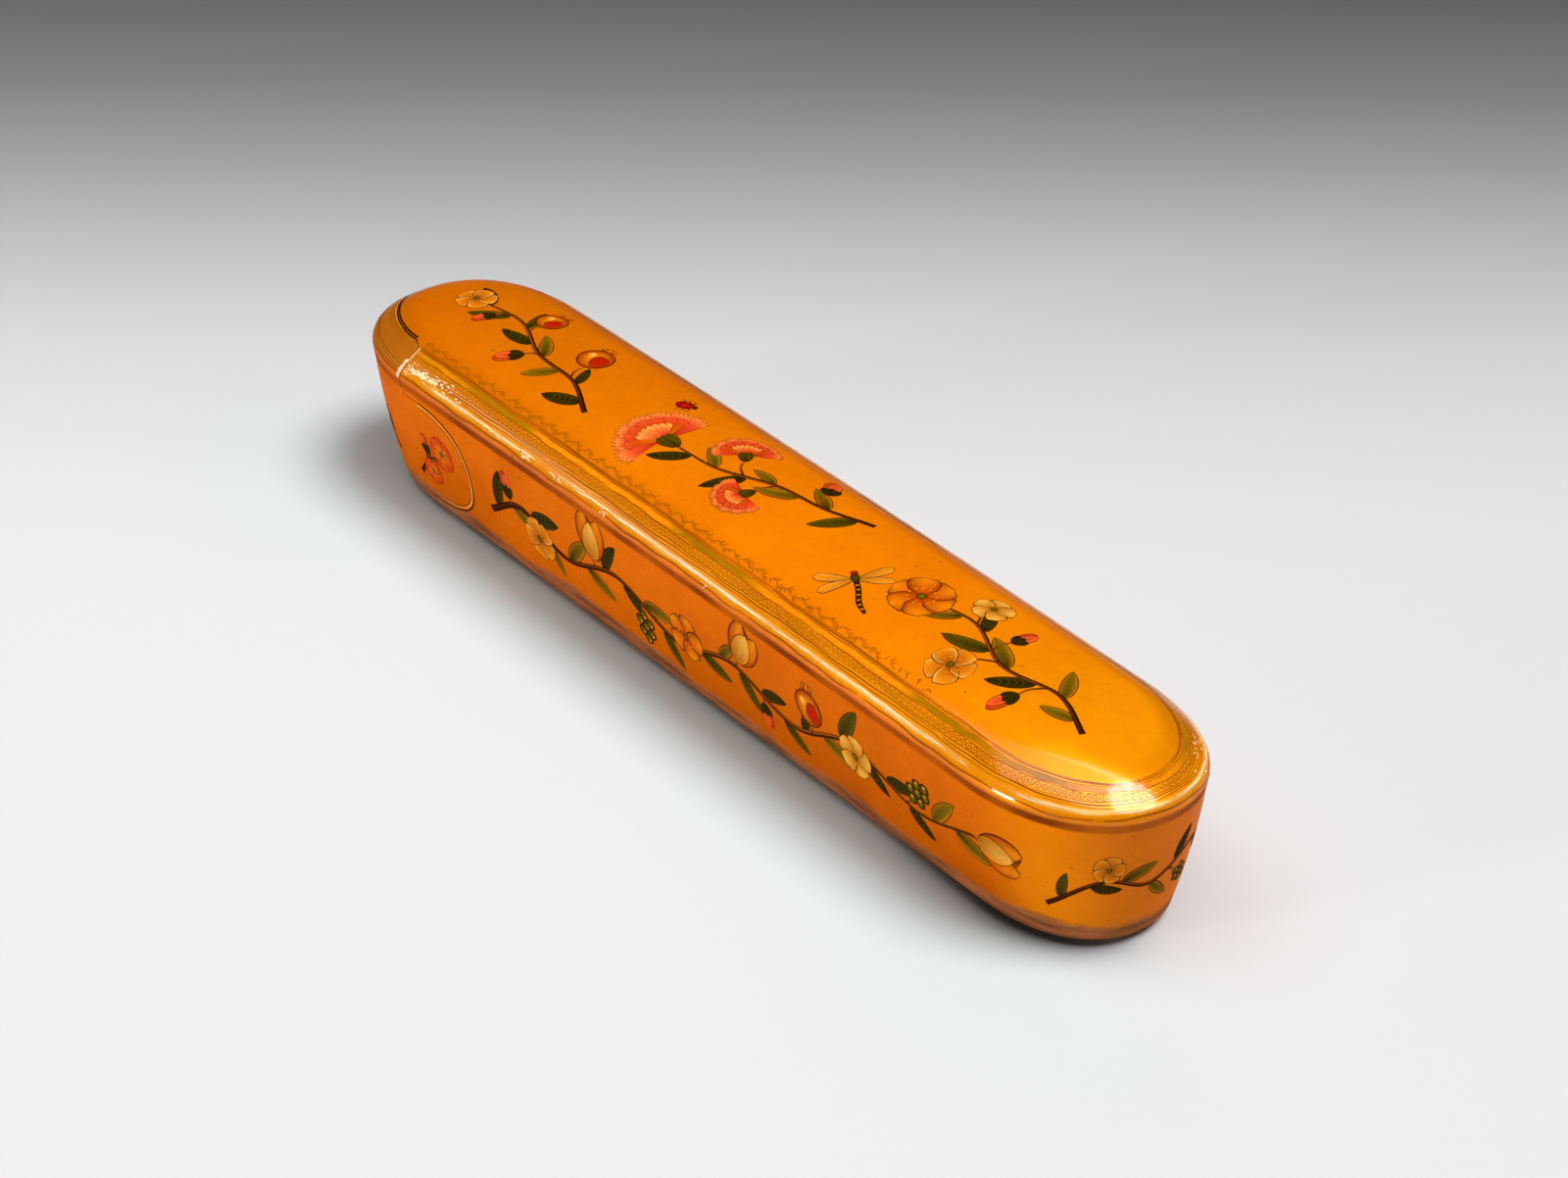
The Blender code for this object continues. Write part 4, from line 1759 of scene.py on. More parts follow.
    def lay_coat(self, graph: Graph, shader: bpy.types.Node) -> None:
        """Keeps the clear coat whole on the border, and thin on the roof and the handled walls.

        Args:
            graph: The material's tree.
            shader: Its shader.
        """
        zone, x = graph.mark("zone"), graph.axes()[0]
        wall = graph.ramp(x, 0.106, 0.117, 0.05, 0.15)
        veil = graph.ramp(x, *VEILED, 0.0, 0.22)
        inner = graph.times(graph.ramp(zone, *self.past_border), veil)
        edge = graph.math("ADD", graph.ramp(zone, *self.past_border, self.coat, 0.16), inner)
        over = graph.ramp(zone, *self.over_edge)
        under = graph.times(wall, graph.math("SUBTRACT", 1.0, over))
        coat = graph.math("ADD", under, graph.times(edge, over))
        metal = graph.ramp(zone, -2.3, -1.9, self.glow, self.gilding)
        metal = graph.times(metal, graph.ramp(zone, *self.past_border, 1.0, 0.6))
        graph.fill(shader, {"Coat Weight": coat, "Metallic": metal})


@dataclass(frozen=True)
class PaintedLacquer(Finish):
    """Brush work under the same varnish, which has turned amber."""

    glaze: Colour = (1.0, 0.66, 0.22)
    near_coat: float | None = None

    def colour(self, graph: Graph) -> Socket:
        """Reads the brush work's own colours and glazes them."""
        return graph.mix(1.0, graph.mark("paint", "Color"), self.glaze, "MULTIPLY")

    def lay_coat(self, graph: Graph, shader: bpy.types.Node) -> None:
        """Thickens the clear coat towards the closed end, where it is less handled.

        Args:
            graph: The material's tree.
            shader: Its shader.
        """
        if self.near_coat is not None:
            coat = graph.ramp(graph.axes()[0], *VEILED, self.coat, self.near_coat)
            graph.fill(shader, {"Coat Weight": coat})


@dataclass(frozen=True)
class PlainFinish(Finish):
    """A finish of one ground colour with cloudy patches of another."""

    ground: Screen = (120, 60, 30)
    patch: Screen = (80, 40, 20)
    patch_scale: float = 60.0

    def colour(self, graph: Graph) -> Socket:
        """Mixes the ground with its patches."""
        cloud = graph.ramp(graph.noise(graph.where(), self.patch_scale, 5, 0.62), 0.42, 0.68)
        return graph.mix(cloud, srgb(*self.ground), srgb(*self.patch))


AMBER = AmberLacquer(
    "amber_lacquer_finish", specular=0.0, coat=0.75, coat_roughness=0.1, bump=0.09, mottle=0.26,
    specks=0.55, gloss=0.24,
)
AMBER_CAP = replace(
    AMBER, name="amber_lacquer_cap", coat=0.4, bump=0.1, mottle=0.34, gilt_reach=12.0,
    gilt=(206, 116, 18), ridge=(226, 146, 44),
)
PAINT = PaintedLacquer(
    "painted_roof", specular=0.0, coat=0.2, near_coat=1.0, coat_roughness=0.1, bump=0.09, gloss=0.24
)
WALL_PAINT = replace(PAINT, name="painted_wall", coat=0.05, near_coat=None, coat_roughness=0.06)
CHIPS_AND_GLINTS = PaintedLacquer(
    "bare_ground_and_glints", specular=0.2, bump=0.5, mottle=0.35, specks=0.3, gloss=0.6,
    glaze=(1.0, 0.95, 0.85),
)
GILT_LINE = PaintedLacquer(
    "gilt_line", metallic=0.55, specular=0.3, coat=0.2, mottle=0.3, gloss=0.34,
    glaze=(1.0, 0.84, 0.5),
)
INSIDE = PlainFinish(
    "inside_lacquer", specular=0.35, bump=0.2, mottle=0.3, gloss=0.42, ground=(92, 34, 14),
    patch=(58, 20, 10),
)
RAW_EDGE = PlainFinish(
    "cut_edge", specular=0.2, bump=0.5, mottle=0.4, gloss=0.7, ground=(120, 74, 34),
    patch=(60, 30, 12), patch_scale=400.0,
)
TRAY = PlainFinish(
    "red_brown_lacquer_finish", specular=0.4, coat=0.25, bump=0.2, mottle=0.35, specks=0.4,
    gloss=0.3, ground=(132, 38, 18), patch=(98, 26, 14),
)
BRASS = PlainFinish(
    "worn_brass", metallic=1.0, bump=0.25, bump_mm=0.06, mottle=0.3, specks=0.5, gloss=0.26,
    ground=(222, 178, 92), patch=(150, 104, 46), patch_scale=110.0,
)
SILK = PlainFinish(
    "inked_silk_finish", specular=0.4, bump=0.4, mottle=0.5, gloss=0.5, ground=(30, 28, 30),
    patch=(12, 11, 13), patch_scale=500.0,
)


@dataclass
class LacquerShell:
    """A shell of the box's outer form: the case or the drawer's end cap."""

    name: str
    node: str
    body: str
    is_cap: bool

    def build(self) -> None:
        """Lofts, hollows and cuts the shell, then dresses it."""
        shell = loft(self.name, FORM.body_rings(FORM.skin, FORM.base_radius, FINE), cap_last=False)
        inner = FORM.body_rings(FORM.case_wall, FORM.inside_corner, PLAIN)
        hollow = loft("hollow", inner, cap_last=False, slot=1)
        outside = AMBER_CAP if self.is_cap else AMBER
        finishes = [finish.make() for finish in (outside, INSIDE, RAW_EDGE)]
        gaps = (0.0, SEAM.gap) if self.is_cap else (SEAM.tab_gap, 0.0)
        share = SEAM.end_share(*gaps, slot=2)
        for solid in (shell, hollow, share):
            for finish in finishes:
                solid.data.materials.append(finish)
        cut_by(shell, hollow, Cut.OUTSIDE)
        cut_by(shell, share, Cut.INSIDE if self.is_cap else Cut.OUTSIDE)
        smooth_shade(shell)
        self.mark_zones(shell)
        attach(shell, self.body)
        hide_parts(self.node)
        log.info("%s: %d faces", self.name, len(shell.data.polygons))

    @staticmethod
    def mark_zones(shell: Piece) -> None:
        """Writes each vertex's zone across the edge, in millimetres.

        Args:
            shell: The shell.
        """
        mesh = shell.data
        flat = np.empty(len(mesh.vertices) * 3, np.float32)
        mesh.vertices.foreach_get("co", flat)
        zone = FORM.zone(flat.reshape(-1, 3) / MM)
        mark = mesh.attributes.new("zone", "FLOAT", "POINT")
        mark.data.foreach_set("value", zone.astype(np.float32))


@dataclass
class GiltBorder:
    """The lines, the chain, the green glaze and the leaf fringe along the roof's edge."""

    body: str
    turn: End
    start: float
    end: float
    is_cap: bool = False
    roof_lines: tuple[Span, ...] = (
        (1.75, 0.1), (2.2, 0.2), (2.6, 0.12), (3.85, 0.14), (5.0, 0.1), (5.4, 0.24), (5.68, 0.1),
    )
    wall_lines: tuple[Span, ...] = (
        (0.22, 0.14), (-0.35, 0.22), (-0.72, 0.1), (-1.1, 0.24), (-1.6, 0.12),
    )
    chain: Spot = (2.8, 3.65, 3.0)
    glaze: Span = (4.05, 4.9)
    fringe: Spot = (6.7, 0.42, 4.2)
    bare: Span = (40.0, 80.0)

    def build(self, name: str) -> None:
        """Paints the border.

        Args:
            name: The piece's name.
        """
        sheet = PaintSheet(EdgeFace(self.turn), seed=5 + self.turn)
        if not self.is_cap:
            self.paint_glaze(sheet)
        for inset, width in (*self.roof_lines, *self.wall_lines):
            self.paint_line(sheet, inset, width)
        if not self.is_cap:
            self.paint_chain(sheet)
            self.paint_fringe(sheet)
        sheet.build(name, PAINT.make(), self.body)

    def along(self, step: float) -> Array:
        """Places along the border, a step apart."""
        return np.arange(self.start, self.end, step)

    def paint_line(self, sheet: PaintSheet, inset: float, width: float) -> None:
        """Paints one thin line with gaps where it has worn away.

        Args:
            sheet: The sheet to paint on.
            inset: Where the line is, across the edge.
            width: Its width.
        """
        sheet.layer()
        u = self.along(1.0)
        hand = 0.07 * np.sin(u * 0.21 + inset * 3) + 0.05 * np.sin(u * 0.57 + inset)
        for piece in self.worn_runs(sheet, np.stack([u, inset + hand], axis=1), 24, 80):
            sheet.stroke(piece, width, Pigment.BORDER_LINE, Pigment.OLD_GOLD, taper=(0.4, 0.4))

    @staticmethod
    def worn_runs(
        sheet: PaintSheet, path: Array, shortest: int, longest: int
    ) -> Iterator[Array]:
        """Breaks a long stroke into runs, with small gaps where it has worn away.

        Args:
            sheet: The sheet, whose chance numbers set the breaks.
            path: The whole stroke.
            shortest: Fewest points of a run.
            longest: Most points of a run.

        Yields:
            Each run.
        """
        first = 0
        while first < len(path) - 4:
            run = int(sheet.chance.integers(shortest, longest))
            if len(path) - first > 3:
                yield path[first : first + run]
            first += run + int(sheet.chance.integers(0, 2))

    def wave(self, step: float, middle: float, reach: float, pitch: float) -> Array:
        """A wavy line along the border."""
        u = self.along(step)
        return np.stack([u, middle + reach * np.sin(2 * np.pi * (u - self.start) / pitch)], axis=1)

    def paint_chain(self, sheet: PaintSheet) -> None:
        """Paints two waves that cross, with a dot in each eye.

        Args:
            sheet: The sheet to paint on.
        """
        low, high, pitch = self.chain
        middle, reach = (low + high) / 2, (high - low) / 2
        for depth, side in enumerate((1, -1)):
            sheet.layer(depth)
            for run in self.worn_runs(sheet, self.wave(0.25, middle, side * reach, pitch), 60, 260):
                sheet.stroke(run, 0.11, Pigment.OLD_GOLD, Pigment.BORDER_LINE, taper=(0.7, 0.7))
        sheet.layer()
        for u in self.along(pitch / 2):
            eye = Place(u + pitch / 4, middle)
            sheet.dot(eye, (0, 0), (0.24, 0.13), Pigment.BORDER_LINE, Pigment.OLD_GOLD, spokes=8)

    def paint_glaze(self, sheet: PaintSheet) -> None:
        """Paints the stripe of green glaze, patchy along its way.

        Args:
            sheet: The sheet to paint on.
        """
        sheet.layer()
        u = self.along(1.2)
        low, high = self.glaze
        edge = 0.1 * np.sin(u * 0.9) + 0.08 * np.sin(u * 0.37 + 1)
        sides = [np.stack([u, low + edge], 1), np.stack([u, high + edge * 0.6], 1)]
        cells = np.stack(sides, axis=1)
        patch = smoothstep(-0.5, 0.8, np.sin(u * 0.083 + 0.7) + 0.6 * np.sin(u * 0.19))
        ground = Pigment.AMBER.linear
        tone = ground + (Pigment.GREEN_GLAZE.linear - ground) * patch[:, None, None]
        sheet.grid(cells, np.broadcast_to(tone, cells.shape[:2] + (3,)))

    def paint_fringe(self, sheet: PaintSheet) -> None:
        """Paints a fine vine inside the border, with leaflets on both sides.

        Args:
            sheet: The sheet to paint on.
        """
        vine = self.wave(0.35, *self.fringe)
        sheet.layer()
        worn = smoothstep(*self.bare, vine[:, 0])
        for run in self.worn_runs(sheet, vine, 12, 40):
            if sheet.chance.random() > 1.1 * smoothstep(*self.bare, run[0, 0]):
                sheet.stroke(run, 0.12, Pigment.FRINGE, Pigment.OLD_GOLD, taper=(0.6, 0.6))
        for i, root in enumerate(vine[::2]):
            sheet.layer(1 + i % 3)
            for side in (1, -1):
                if sheet.chance.random() < 0.22 + 0.8 * worn[2 * i]:
                    continue
                reach = (sheet.chance.uniform(0.3, 0.8), side * sheet.chance.uniform(0.4, 0.95))
                tip = root + reach
                leaf = smooth_path([root, (root + tip) / 2 + (0.16, -0.1 * side), tip], 0.3)
                width = sheet.chance.uniform(0.16, 0.34)
                sheet.stroke(leaf, width, Pigment.FRINGE, Pigment.OLD_GOLD, taper=(0.3, 0.1))


@dataclass(frozen=True)
class WallSpray:
    """A spray on a wall: its piece and body, the wall, and the seed that chooses its leaves."""

    name: str
    body: str
    turn: End
    side: Side
    seed: int
    spray: Spray

    def build(self) -> None:
        """Paints it."""
        sheet = PaintSheet(WallFace(self.turn, self.side), seed=self.seed)
        self.spray.paint(sheet, Place(0, 0))
        sheet.build(self.name, WALL_PAINT.make(), self.body)


BRANCH = Spray(
    [
        (-62, 13), (-50, 19), (-36, 14), (-18, 19), (0, 13),
        (18, 18), (36, 13), (54, 19), (72, 14), (88, 18),
    ],
    [
        (0.06, 70, 2.0, Bud(), 1.1),
        (0.13, -72, 3.0, Blossom(5, GOLD_PETAL), 0.95),
        (0.25, 66, 2.0, Tulip(), 1.1),
        (0.35, -64, 2.0, Berries(), 1.0),
        (0.44, 62, 3.0, Blossom(5, RUSSET_PETAL), 1.0),
        (0.55, 70, 2.0, Tulip(), 1.05),
        (0.60, -60, 2.5, Bud(), 1.0),
        (0.70, 66, 2.0, Pomegranate(), 1.0),
        (0.78, -66, 2.5, Blossom(5, TAN_PETAL), 0.9),
        (0.88, 60, 2.0, Berries(), 1.0),
        (1.0, -20, 2.0, Tulip(), 1.1),
    ],
    leaf_every=6.5,
    leaf_length=9.6,
    stem_width=1.15,
)
NEAR_SPRIG = Spray(
    [(106, 10), (117, 17), (127, 15), (138, 20), (147, 17)],
    [
        (0.3, 60, 3.0, Blossom(5, GOLD_PETAL), 0.62),
        (0.62, -62, 3.0, Berries(), 0.75),
        (1.0, 0, 2.0, Blossom(5, RED_PETAL), 0.75),
    ],
    leaf_length=7.0,
)
TAB_SPRIG = Spray(
    [(88.5, 9), (84.5, 13.5), (80, 16.5)],
    [
        (0.42, 72, 2.4, Blossom(5, RED_PETAL), 0.6),
        (0.62, -62, 2.0, Bud(), 0.8),
        (1.0, -8, 2.2, Blossom(5, RED_PETAL), 0.78),
    ],
    leaf_every=3.6,
    leaf_length=5.6,
)
PULL_SPRIG = Spray(
    [(99, 10), (109, 17), (120, 14), (132, 19), (143, 15)],
    [
        (0.4, 60, 2.0, Tulip(), 0.65),
        (0.7, -64, 2.5, Berries(), 0.7),
        (1.0, 0, 1.5, Blossom(5, RUSSET_PETAL), 0.7),
    ],
    leaf_length=7.0,
)
ROOF_BLOSSOMS = Spray(
    [(99, -5), (88, -1), (75, -3), (62, 2), (52, 1)],
    [
        (0.30, 62, 6.0, Bud(), 1.1),
        (0.55, 66, 8.5, Blossom(5, GOLD_PETAL), 0.95),
        (0.62, -70, 5.0, Bud(), 1.0),
        (0.80, -58, 6.5, Blossom(5, TAN_PETAL), 0.8),
        (1.0, 8, 3.5, Blossom(6, RUSSET_PETAL), 1.25),
    ],
    leaf_length=9.5,
)
ROOF_CARNATIONS = Spray(
    [(24, 9), (14, 5), (2, 3), (-10, -2), (-20, -3)],
    [
        (0.26, -64, 6.0, Bud(), 1.2),
        (0.50, 60, 5.0, Carnation(), 0.78),
        (0.66, -66, 6.0, Carnation(), 0.85),
        (1.0, -4, 2.0, Carnation(), 1.25),
    ],
    leaf_length=9.0,
)
ROOF_POMEGRANATES = Spray(
    [(-44, -9), (-55, -4), (-68, -3), (-81, 2), (-93, 1)],
    [
        (0.28, -62, 5.0, Pomegranate(), 1.0),
        (0.50, 64, 3.5, Bud(), 1.1),
        (0.68, -60, 3.0, Pomegranate(), 0.85),
        (0.86, 62, 3.0, Bud(), 0.9),
        (1.0, 0, 2.5, Blossom(5, GOLD_PETAL), 0.85),
    ],
    leaf_length=8.5,
)


@dataclass
class Decoration:
    """The painted sprays on the roof, the walls and the end cap."""

    roof: tuple[Spray, ...] = (ROOF_BLOSSOMS, ROOF_CARNATIONS, ROOF_POMEGRANATES)
    insects: tuple[tuple[Motif, Place], ...] = (
        (Dragonfly(), Place(37, -6, 148, 0.95)),
        (Beetle(), Place(-34, 8, 30, 0.9)),
    )
    walls: tuple[WallSpray, ...] = (
        WallSpray("side_spray_front", "case", End.CLOSED, Side.FRONT, 21, BRANCH),
        WallSpray("side_spray_back", "case", End.CLOSED, Side.BACK, 34, BRANCH),
        WallSpray("near_end_sprig", "case", End.CLOSED, Side.FRONT, 8, NEAR_SPRIG),
        WallSpray("tab_sprig_front", "drawer", End.PULL, Side.FRONT, 49, TAB_SPRIG),
        WallSpray("tab_sprig_back", "drawer", End.PULL, Side.BACK, 51, TAB_SPRIG),
        WallSpray("pull_end_sprig", "drawer", End.PULL, Side.FRONT, 61, PULL_SPRIG),
    )

    def build(self) -> None:
        """Paints the roof, then each wall."""
        sheet = PaintSheet(RoofFace(), seed=11)
        for spray in self.roof:
            spray.paint(sheet, Place(0, 0))
        for motif, at in self.insects:
            sheet.layer(STEM_LAYER)
            motif.paint(sheet, at)
        sheet.build("roof_sprays", PAINT.make(), "case")
        for wall in self.walls:
            wall.build()


@dataclass
class Wear:
    """Chips, flakes painted white as glare, pale ridge runs of rubbed gilding and painted
    highlight, and cracks of the lacquer, by length along the edge and by inset.
    """

    chips: tuple[Spot, ...] = (
        (-47, 0.8, 1.0), (-36.5, 0.7, 0.8), (-56, 0.9, 0.7), (-20, 0.6, 0.5),
        (12, 0.7, 0.45), (66, 0.8, 0.5), (150, 0.7, 0.8),
    )
    chips_each: int = 7
    # Pale ridge runs: their count and where they go, rubbed gilding with a painted highlight.
    rub_and_glint_runs: int = 90
    rubbed_and_glint: Span = (-84, 146)
    # Flakes and crumbs of flaking gilding, painted white as glare.
    flakes: tuple[tuple[float, float, float, float], ...] = (
        (3.2, 1.6, 1.3, 0.4), (6.0, 1.8, 1.9, 0.46), (9.4, 2.0, 1.2, 0.3),
    )
    glare_crumbs: tuple[tuple[float, float, Span, int], ...] = (
        (SEAM.step_x + 8.0, 1.9, (4.5, 0.5), 60),
        (147, 1.8, (3.5, 0.8), 18),
    )
    cracks: tuple[Path, ...] = (
        ((121.5, 30.1), (121, 28.6), (122.2, 26.5), (121.6, 24.5)),
        ((119, 30.0), (118.2, 28.7), (118.5, 27.2)),
    )
    scratch: Path = ((127, 14), (133, 15.5), (139, 15), (146, 17))

    def build(self) -> None:
        """Makes the wear of the case, of the end cap and of the seam between them, with painted
        highlights and painted shade lines among it.
        """
        edge = PaintSheet(EdgeFace(End.CLOSED), seed=3)
        self.chip_ridge(edge)
        # Pale runs along the ridge: rubbed gilding with a painted highlight.
        self.rub_and_glint_ridge(edge)
        # Flakes painted white as glare.
        self.flake_gilding_with_glare(edge)
        edge.build("ridge_chips_and_glints", CHIPS_AND_GLINTS.make(), "case")
        self.crack_end()
        self.bare_step()
        self.edge_tabs()
        self.edge_tongue()
        self.edge_notches()

    def chip_ridge(self, edge: PaintSheet) -> None:
        """Chips the ridge here and there.

        Args:
            edge: The sheet to paint on.
        """
        for u, inset, reach in self.chips:
            for _ in range(self.chips_each):
                edge.any_layer()
                spot = Place(*edge.chance.normal((u, inset), (1.1, 0.2)))
                long = reach * edge.chance.uniform(0.25, 0.9)
                size = (long, reach * edge.chance.uniform(0.08, 0.24))
                edge.disc(spot, (0, 0), size, Pigment.PINK_GROUND, Pigment.PALE_GOLD, ragged=0.2)

    def rub_and_glint_ridge(self, edge: PaintSheet) -> None:
        """Rubs short runs of the ridge pale, as rubbed gilding and painted highlight.

        Args:
            edge: The sheet to paint on.
        """
        for _ in range(self.rub_and_glint_runs):
            u, long = edge.chance.uniform(*self.rubbed_and_glint), edge.chance.uniform(2.0, 11.0)
            edge.any_layer()
            run = np.arange(u, u + long, 0.8)
            inset = edge.chance.normal(1.05, 0.09) + 0.04 * np.sin(run * 0.9)
            path, width = np.stack([run, inset], axis=1), edge.chance.uniform(0.08, 0.24)
            edge.stroke(path, width, Pigment.FLAKE_GLARE, Pigment.PALE_GOLD, taper=(0.1, 0.1))

    def flake_gilding_with_glare(self, edge: PaintSheet) -> None:
        """Flakes the gilding next to the step and at the closed end, painting the flakes white as
        glare.

        Args:
            edge: The sheet to paint on.
        """
        for u, inset, long, wide in self.flakes:
            edge.any_layer()
            spot = Place(SEAM.step_x + u, inset)
            edge.disc(spot, (0, 0), (long, wide), Pigment.FLAKE_GLARE, Pigment.FLAKE_GLARE, ragged=0.2)
        for u, inset, spread, count in self.glare_crumbs:
            for _ in range(count):
                u_at, inset_at = edge.chance.normal((u, inset), spread)
                size = (edge.chance.uniform(0.12, 0.6), edge.chance.uniform(0.05, 0.15))
                edge.any_layer()
                spot = Place(max(u_at, SEAM.step_x + 1.0), max(0.3, inset_at))
                edge.disc(spot, (0, 0), size, Pigment.FLAKE_GLARE, Pigment.PALE_GOLD, ragged=0.2)

    def crack_end(self) -> None:
        """Cracks and scratches the closed end."""
        wall = PaintSheet(WallFace(End.CLOSED, Side.FRONT), seed=4)
        for path in self.cracks:
            wall.stroke(smooth_path(path), 0.1, Pigment.RUSSET, Pigment.OLD_GOLD)
        wall.stroke(smooth_path(self.scratch), 0.14, Pigment.PALE_GOLD, Pigment.GOLD)
        wall.build("end_cracks", WALL_PAINT.make(), "case")

    def bare_step(self) -> None:
        """Bares the ground along the cap's side of the step."""
        edge = PaintSheet(EdgeFace(End.PULL), seed=9)
        for inset in np.arange(0.1, 5.6, 0.55):
            edge.any_layer()
            wide = 1.15 if inset < 2.4 else 0.42
            spot, size = Place(wide * 0.7 - SEAM.step_x, inset), edge.chance.uniform(0.45, 0.62)
            radii = (wide * size, 0.42)
            edge.disc(spot, (0, 0), radii, Pigment.GROUND, Pigment.PINK_GROUND, ragged=0.06)
        edge.build("step_chips", CHIPS_AND_GLINTS.make(), "drawer")

    def edge_tabs(self) -> None:
        """Edges each tab with a painted highlight along its rounded lip, painted shade inside it
        and a pale line up the step.
        """
        flip, inside = (-1, 1), 0.3 - SEAM.step_x
        foot = float(FORM.edge_z(SEAM.step_x)) - FORM.ridge_radius
        rise = np.linspace((inside, FORM.edge_height - SEAM.tab_below_edge), (inside, foot), 8)
        lip, shade = SEAM.tab_curve(-0.28)[2:-1] * flip, SEAM.tab_curve(-0.75)[3:-2] * flip
        for side in Side:
            wall = PaintSheet(WallFace(End.PULL, side), seed=12)
            # Painted highlight along the tab's rounded edge, and painted shade inside it.
            wall.stroke(lip, 0.42, Pigment.AMBER, Pigment.PALE_GOLD, taper=(0.7, 0.9))
            wall.stroke(shade, 0.2, Pigment.RUSSET, Pigment.CHESTNUT, taper=(0.5, 0.8))
            wall.stroke(rise, 0.34, Pigment.PALE_GOLD, Pigment.GROUND, taper=(0.6, 1))
            wall.build(f"tab_lip_{side.name.lower()}", PAINT.make(), "drawer")

    def edge_tongue(self) -> None:
        """Edges the cap's rim with a pale lip and the tongue with a dark line of painted shade in
        its gap.
        """
        rim = PaintSheet(RoofFace(), seed=13)
        lip = SEAM.tongue_curve(SEAM.gap + 0.2)[6:-6]
        rim.stroke(lip, 0.36, Pigment.PALE_GOLD, Pigment.GOLD, taper=(0.4, 0.4))
        for grow, width in ((1.1, 0.2), (1.7, 0.14)):
            line = SEAM.tongue_curve(grow)[4:-4]
            rim.stroke(line, width, Pigment.BORDER_LINE, Pigment.OLD_GOLD)
        rim.build("rim_lip", PAINT.make(), "drawer")
        tongue = PaintSheet(RoofFace(), seed=14)
        shade = SEAM.tongue_curve(-0.2)[30:]
        # Painted shade in the tongue's gap.
        tongue.stroke(shade, 0.34, Pigment.DARK_BROWN, taper=(0.05, 1.0))
        tongue.build("tongue_shade", PAINT.make(), "case")

    def edge_notches(self) -> None:
        """Edges each notch with a dark line of painted shade in its gap."""
        notch = SEAM.tab_curve(SEAM.tab_gap + 0.14)[2:-1] * (-1, 1)
        for side in Side:
            wall = PaintSheet(WallFace(End.PULL, side), seed=15)
            # Painted shade in the notch's gap.
            wall.stroke(notch, 0.24, Pigment.CHESTNUT, Pigment.UMBER, taper=(0.6, 1))
            wall.build(f"notch_shade_{side.name.lower()}", WALL_PAINT.make(), "case")


@dataclass
class DrawerTray:
    """The tray with its rounded rim."""

    offset: float = 2.9
    wall: float = 1.8
    rim: float = 27.4
    gold_lines: tuple[Span, ...] = ((23.4, 0.34), (22.5, 0.14), (6.6, 0.14), (5.7, 0.34))
    vine_height: float = 14.5
    vine_swing: float = 3.2
    vine_pitch: float = 13.0

    def build(self) -> None:
        """Lofts the tray in one skin, over its rim and down inside, and gilds it."""
        detail = Detail(end_steps=40, side_steps=24, round_steps=5, wall_steps=6)
        rails = FORM.rails(detail)
        half = self.wall / 2
        rings = FORM.trough_rings(self.offset, self.rim - half, FORM.inside_corner, detail)
        for angle in np.linspace(0, np.pi, 9)[1:-1]:
            inset = self.offset + half * (1 - math.cos(angle))
            rings.append(FORM.wall_spot(rails, self.rim - half + half * math.sin(angle), inset))
        inner = self.offset + self.wall
        rings += FORM.trough_rings(inner, self.rim - half, FORM.inside_corner, detail)[::-1]
        tray = loft("drawer_tray_lacquered", rings)
        smooth_shade(tray)
        tray.data.materials.append(TRAY.make())
        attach(tray, "drawer")
        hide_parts("drawer_tray")
        log.info("drawer tray: %d faces", len(tray.data.polygons))
        self.gild()

    def gild(self) -> None:
        """Paints a gold vine between lines along the outside of the tray."""
        face = WallFace(End.CLOSED, Side.FRONT, self.offset - FORM.skin)
        sheet = PaintSheet(face, seed=31)
        start, end = SEAM.step_x + 8.0, face.full_turn - SEAM.step_x - 8.0
        u = np.arange(start, end, 1.0)
        for height, width in self.gold_lines:
            sheet.layer()
            line = np.stack([u, np.full(len(u), height)], axis=1)
            sheet.stroke(line, width, Pigment.GOLD, Pigment.OLD_GOLD)
        bends = np.arange(start + 2.0, end - 2.0, self.vine_pitch)
        swings = [self.vine_swing if i % 2 else -self.vine_swing for i in range(len(bends))]
        heads = enumerate(np.linspace(0.03, 0.97, len(bends) - 3))
        bloom = Blossom(5, GILT_LEAF)
        Spray(
            [(bend, self.vine_height + swing) for bend, swing in zip(bends, swings)],
            [(share, 66 if i % 2 else -66, 3.0, bloom, 0.55) for i, share in heads],
            leaf_every=5.2,
            leaf_length=5.4,
            stem_width=0.5,
            leaves=(GILT_LEAF,),
            bark=(Pigment.GOLD, Pigment.OLD_GOLD),
            shine=(Pigment.PALE_GOLD, Pigment.GOLD),
        ).paint(sheet, Place(0, 0))
        sheet.build("tray_gilding", GILT_LINE.make(), "drawer", "red_brown_lacquer")


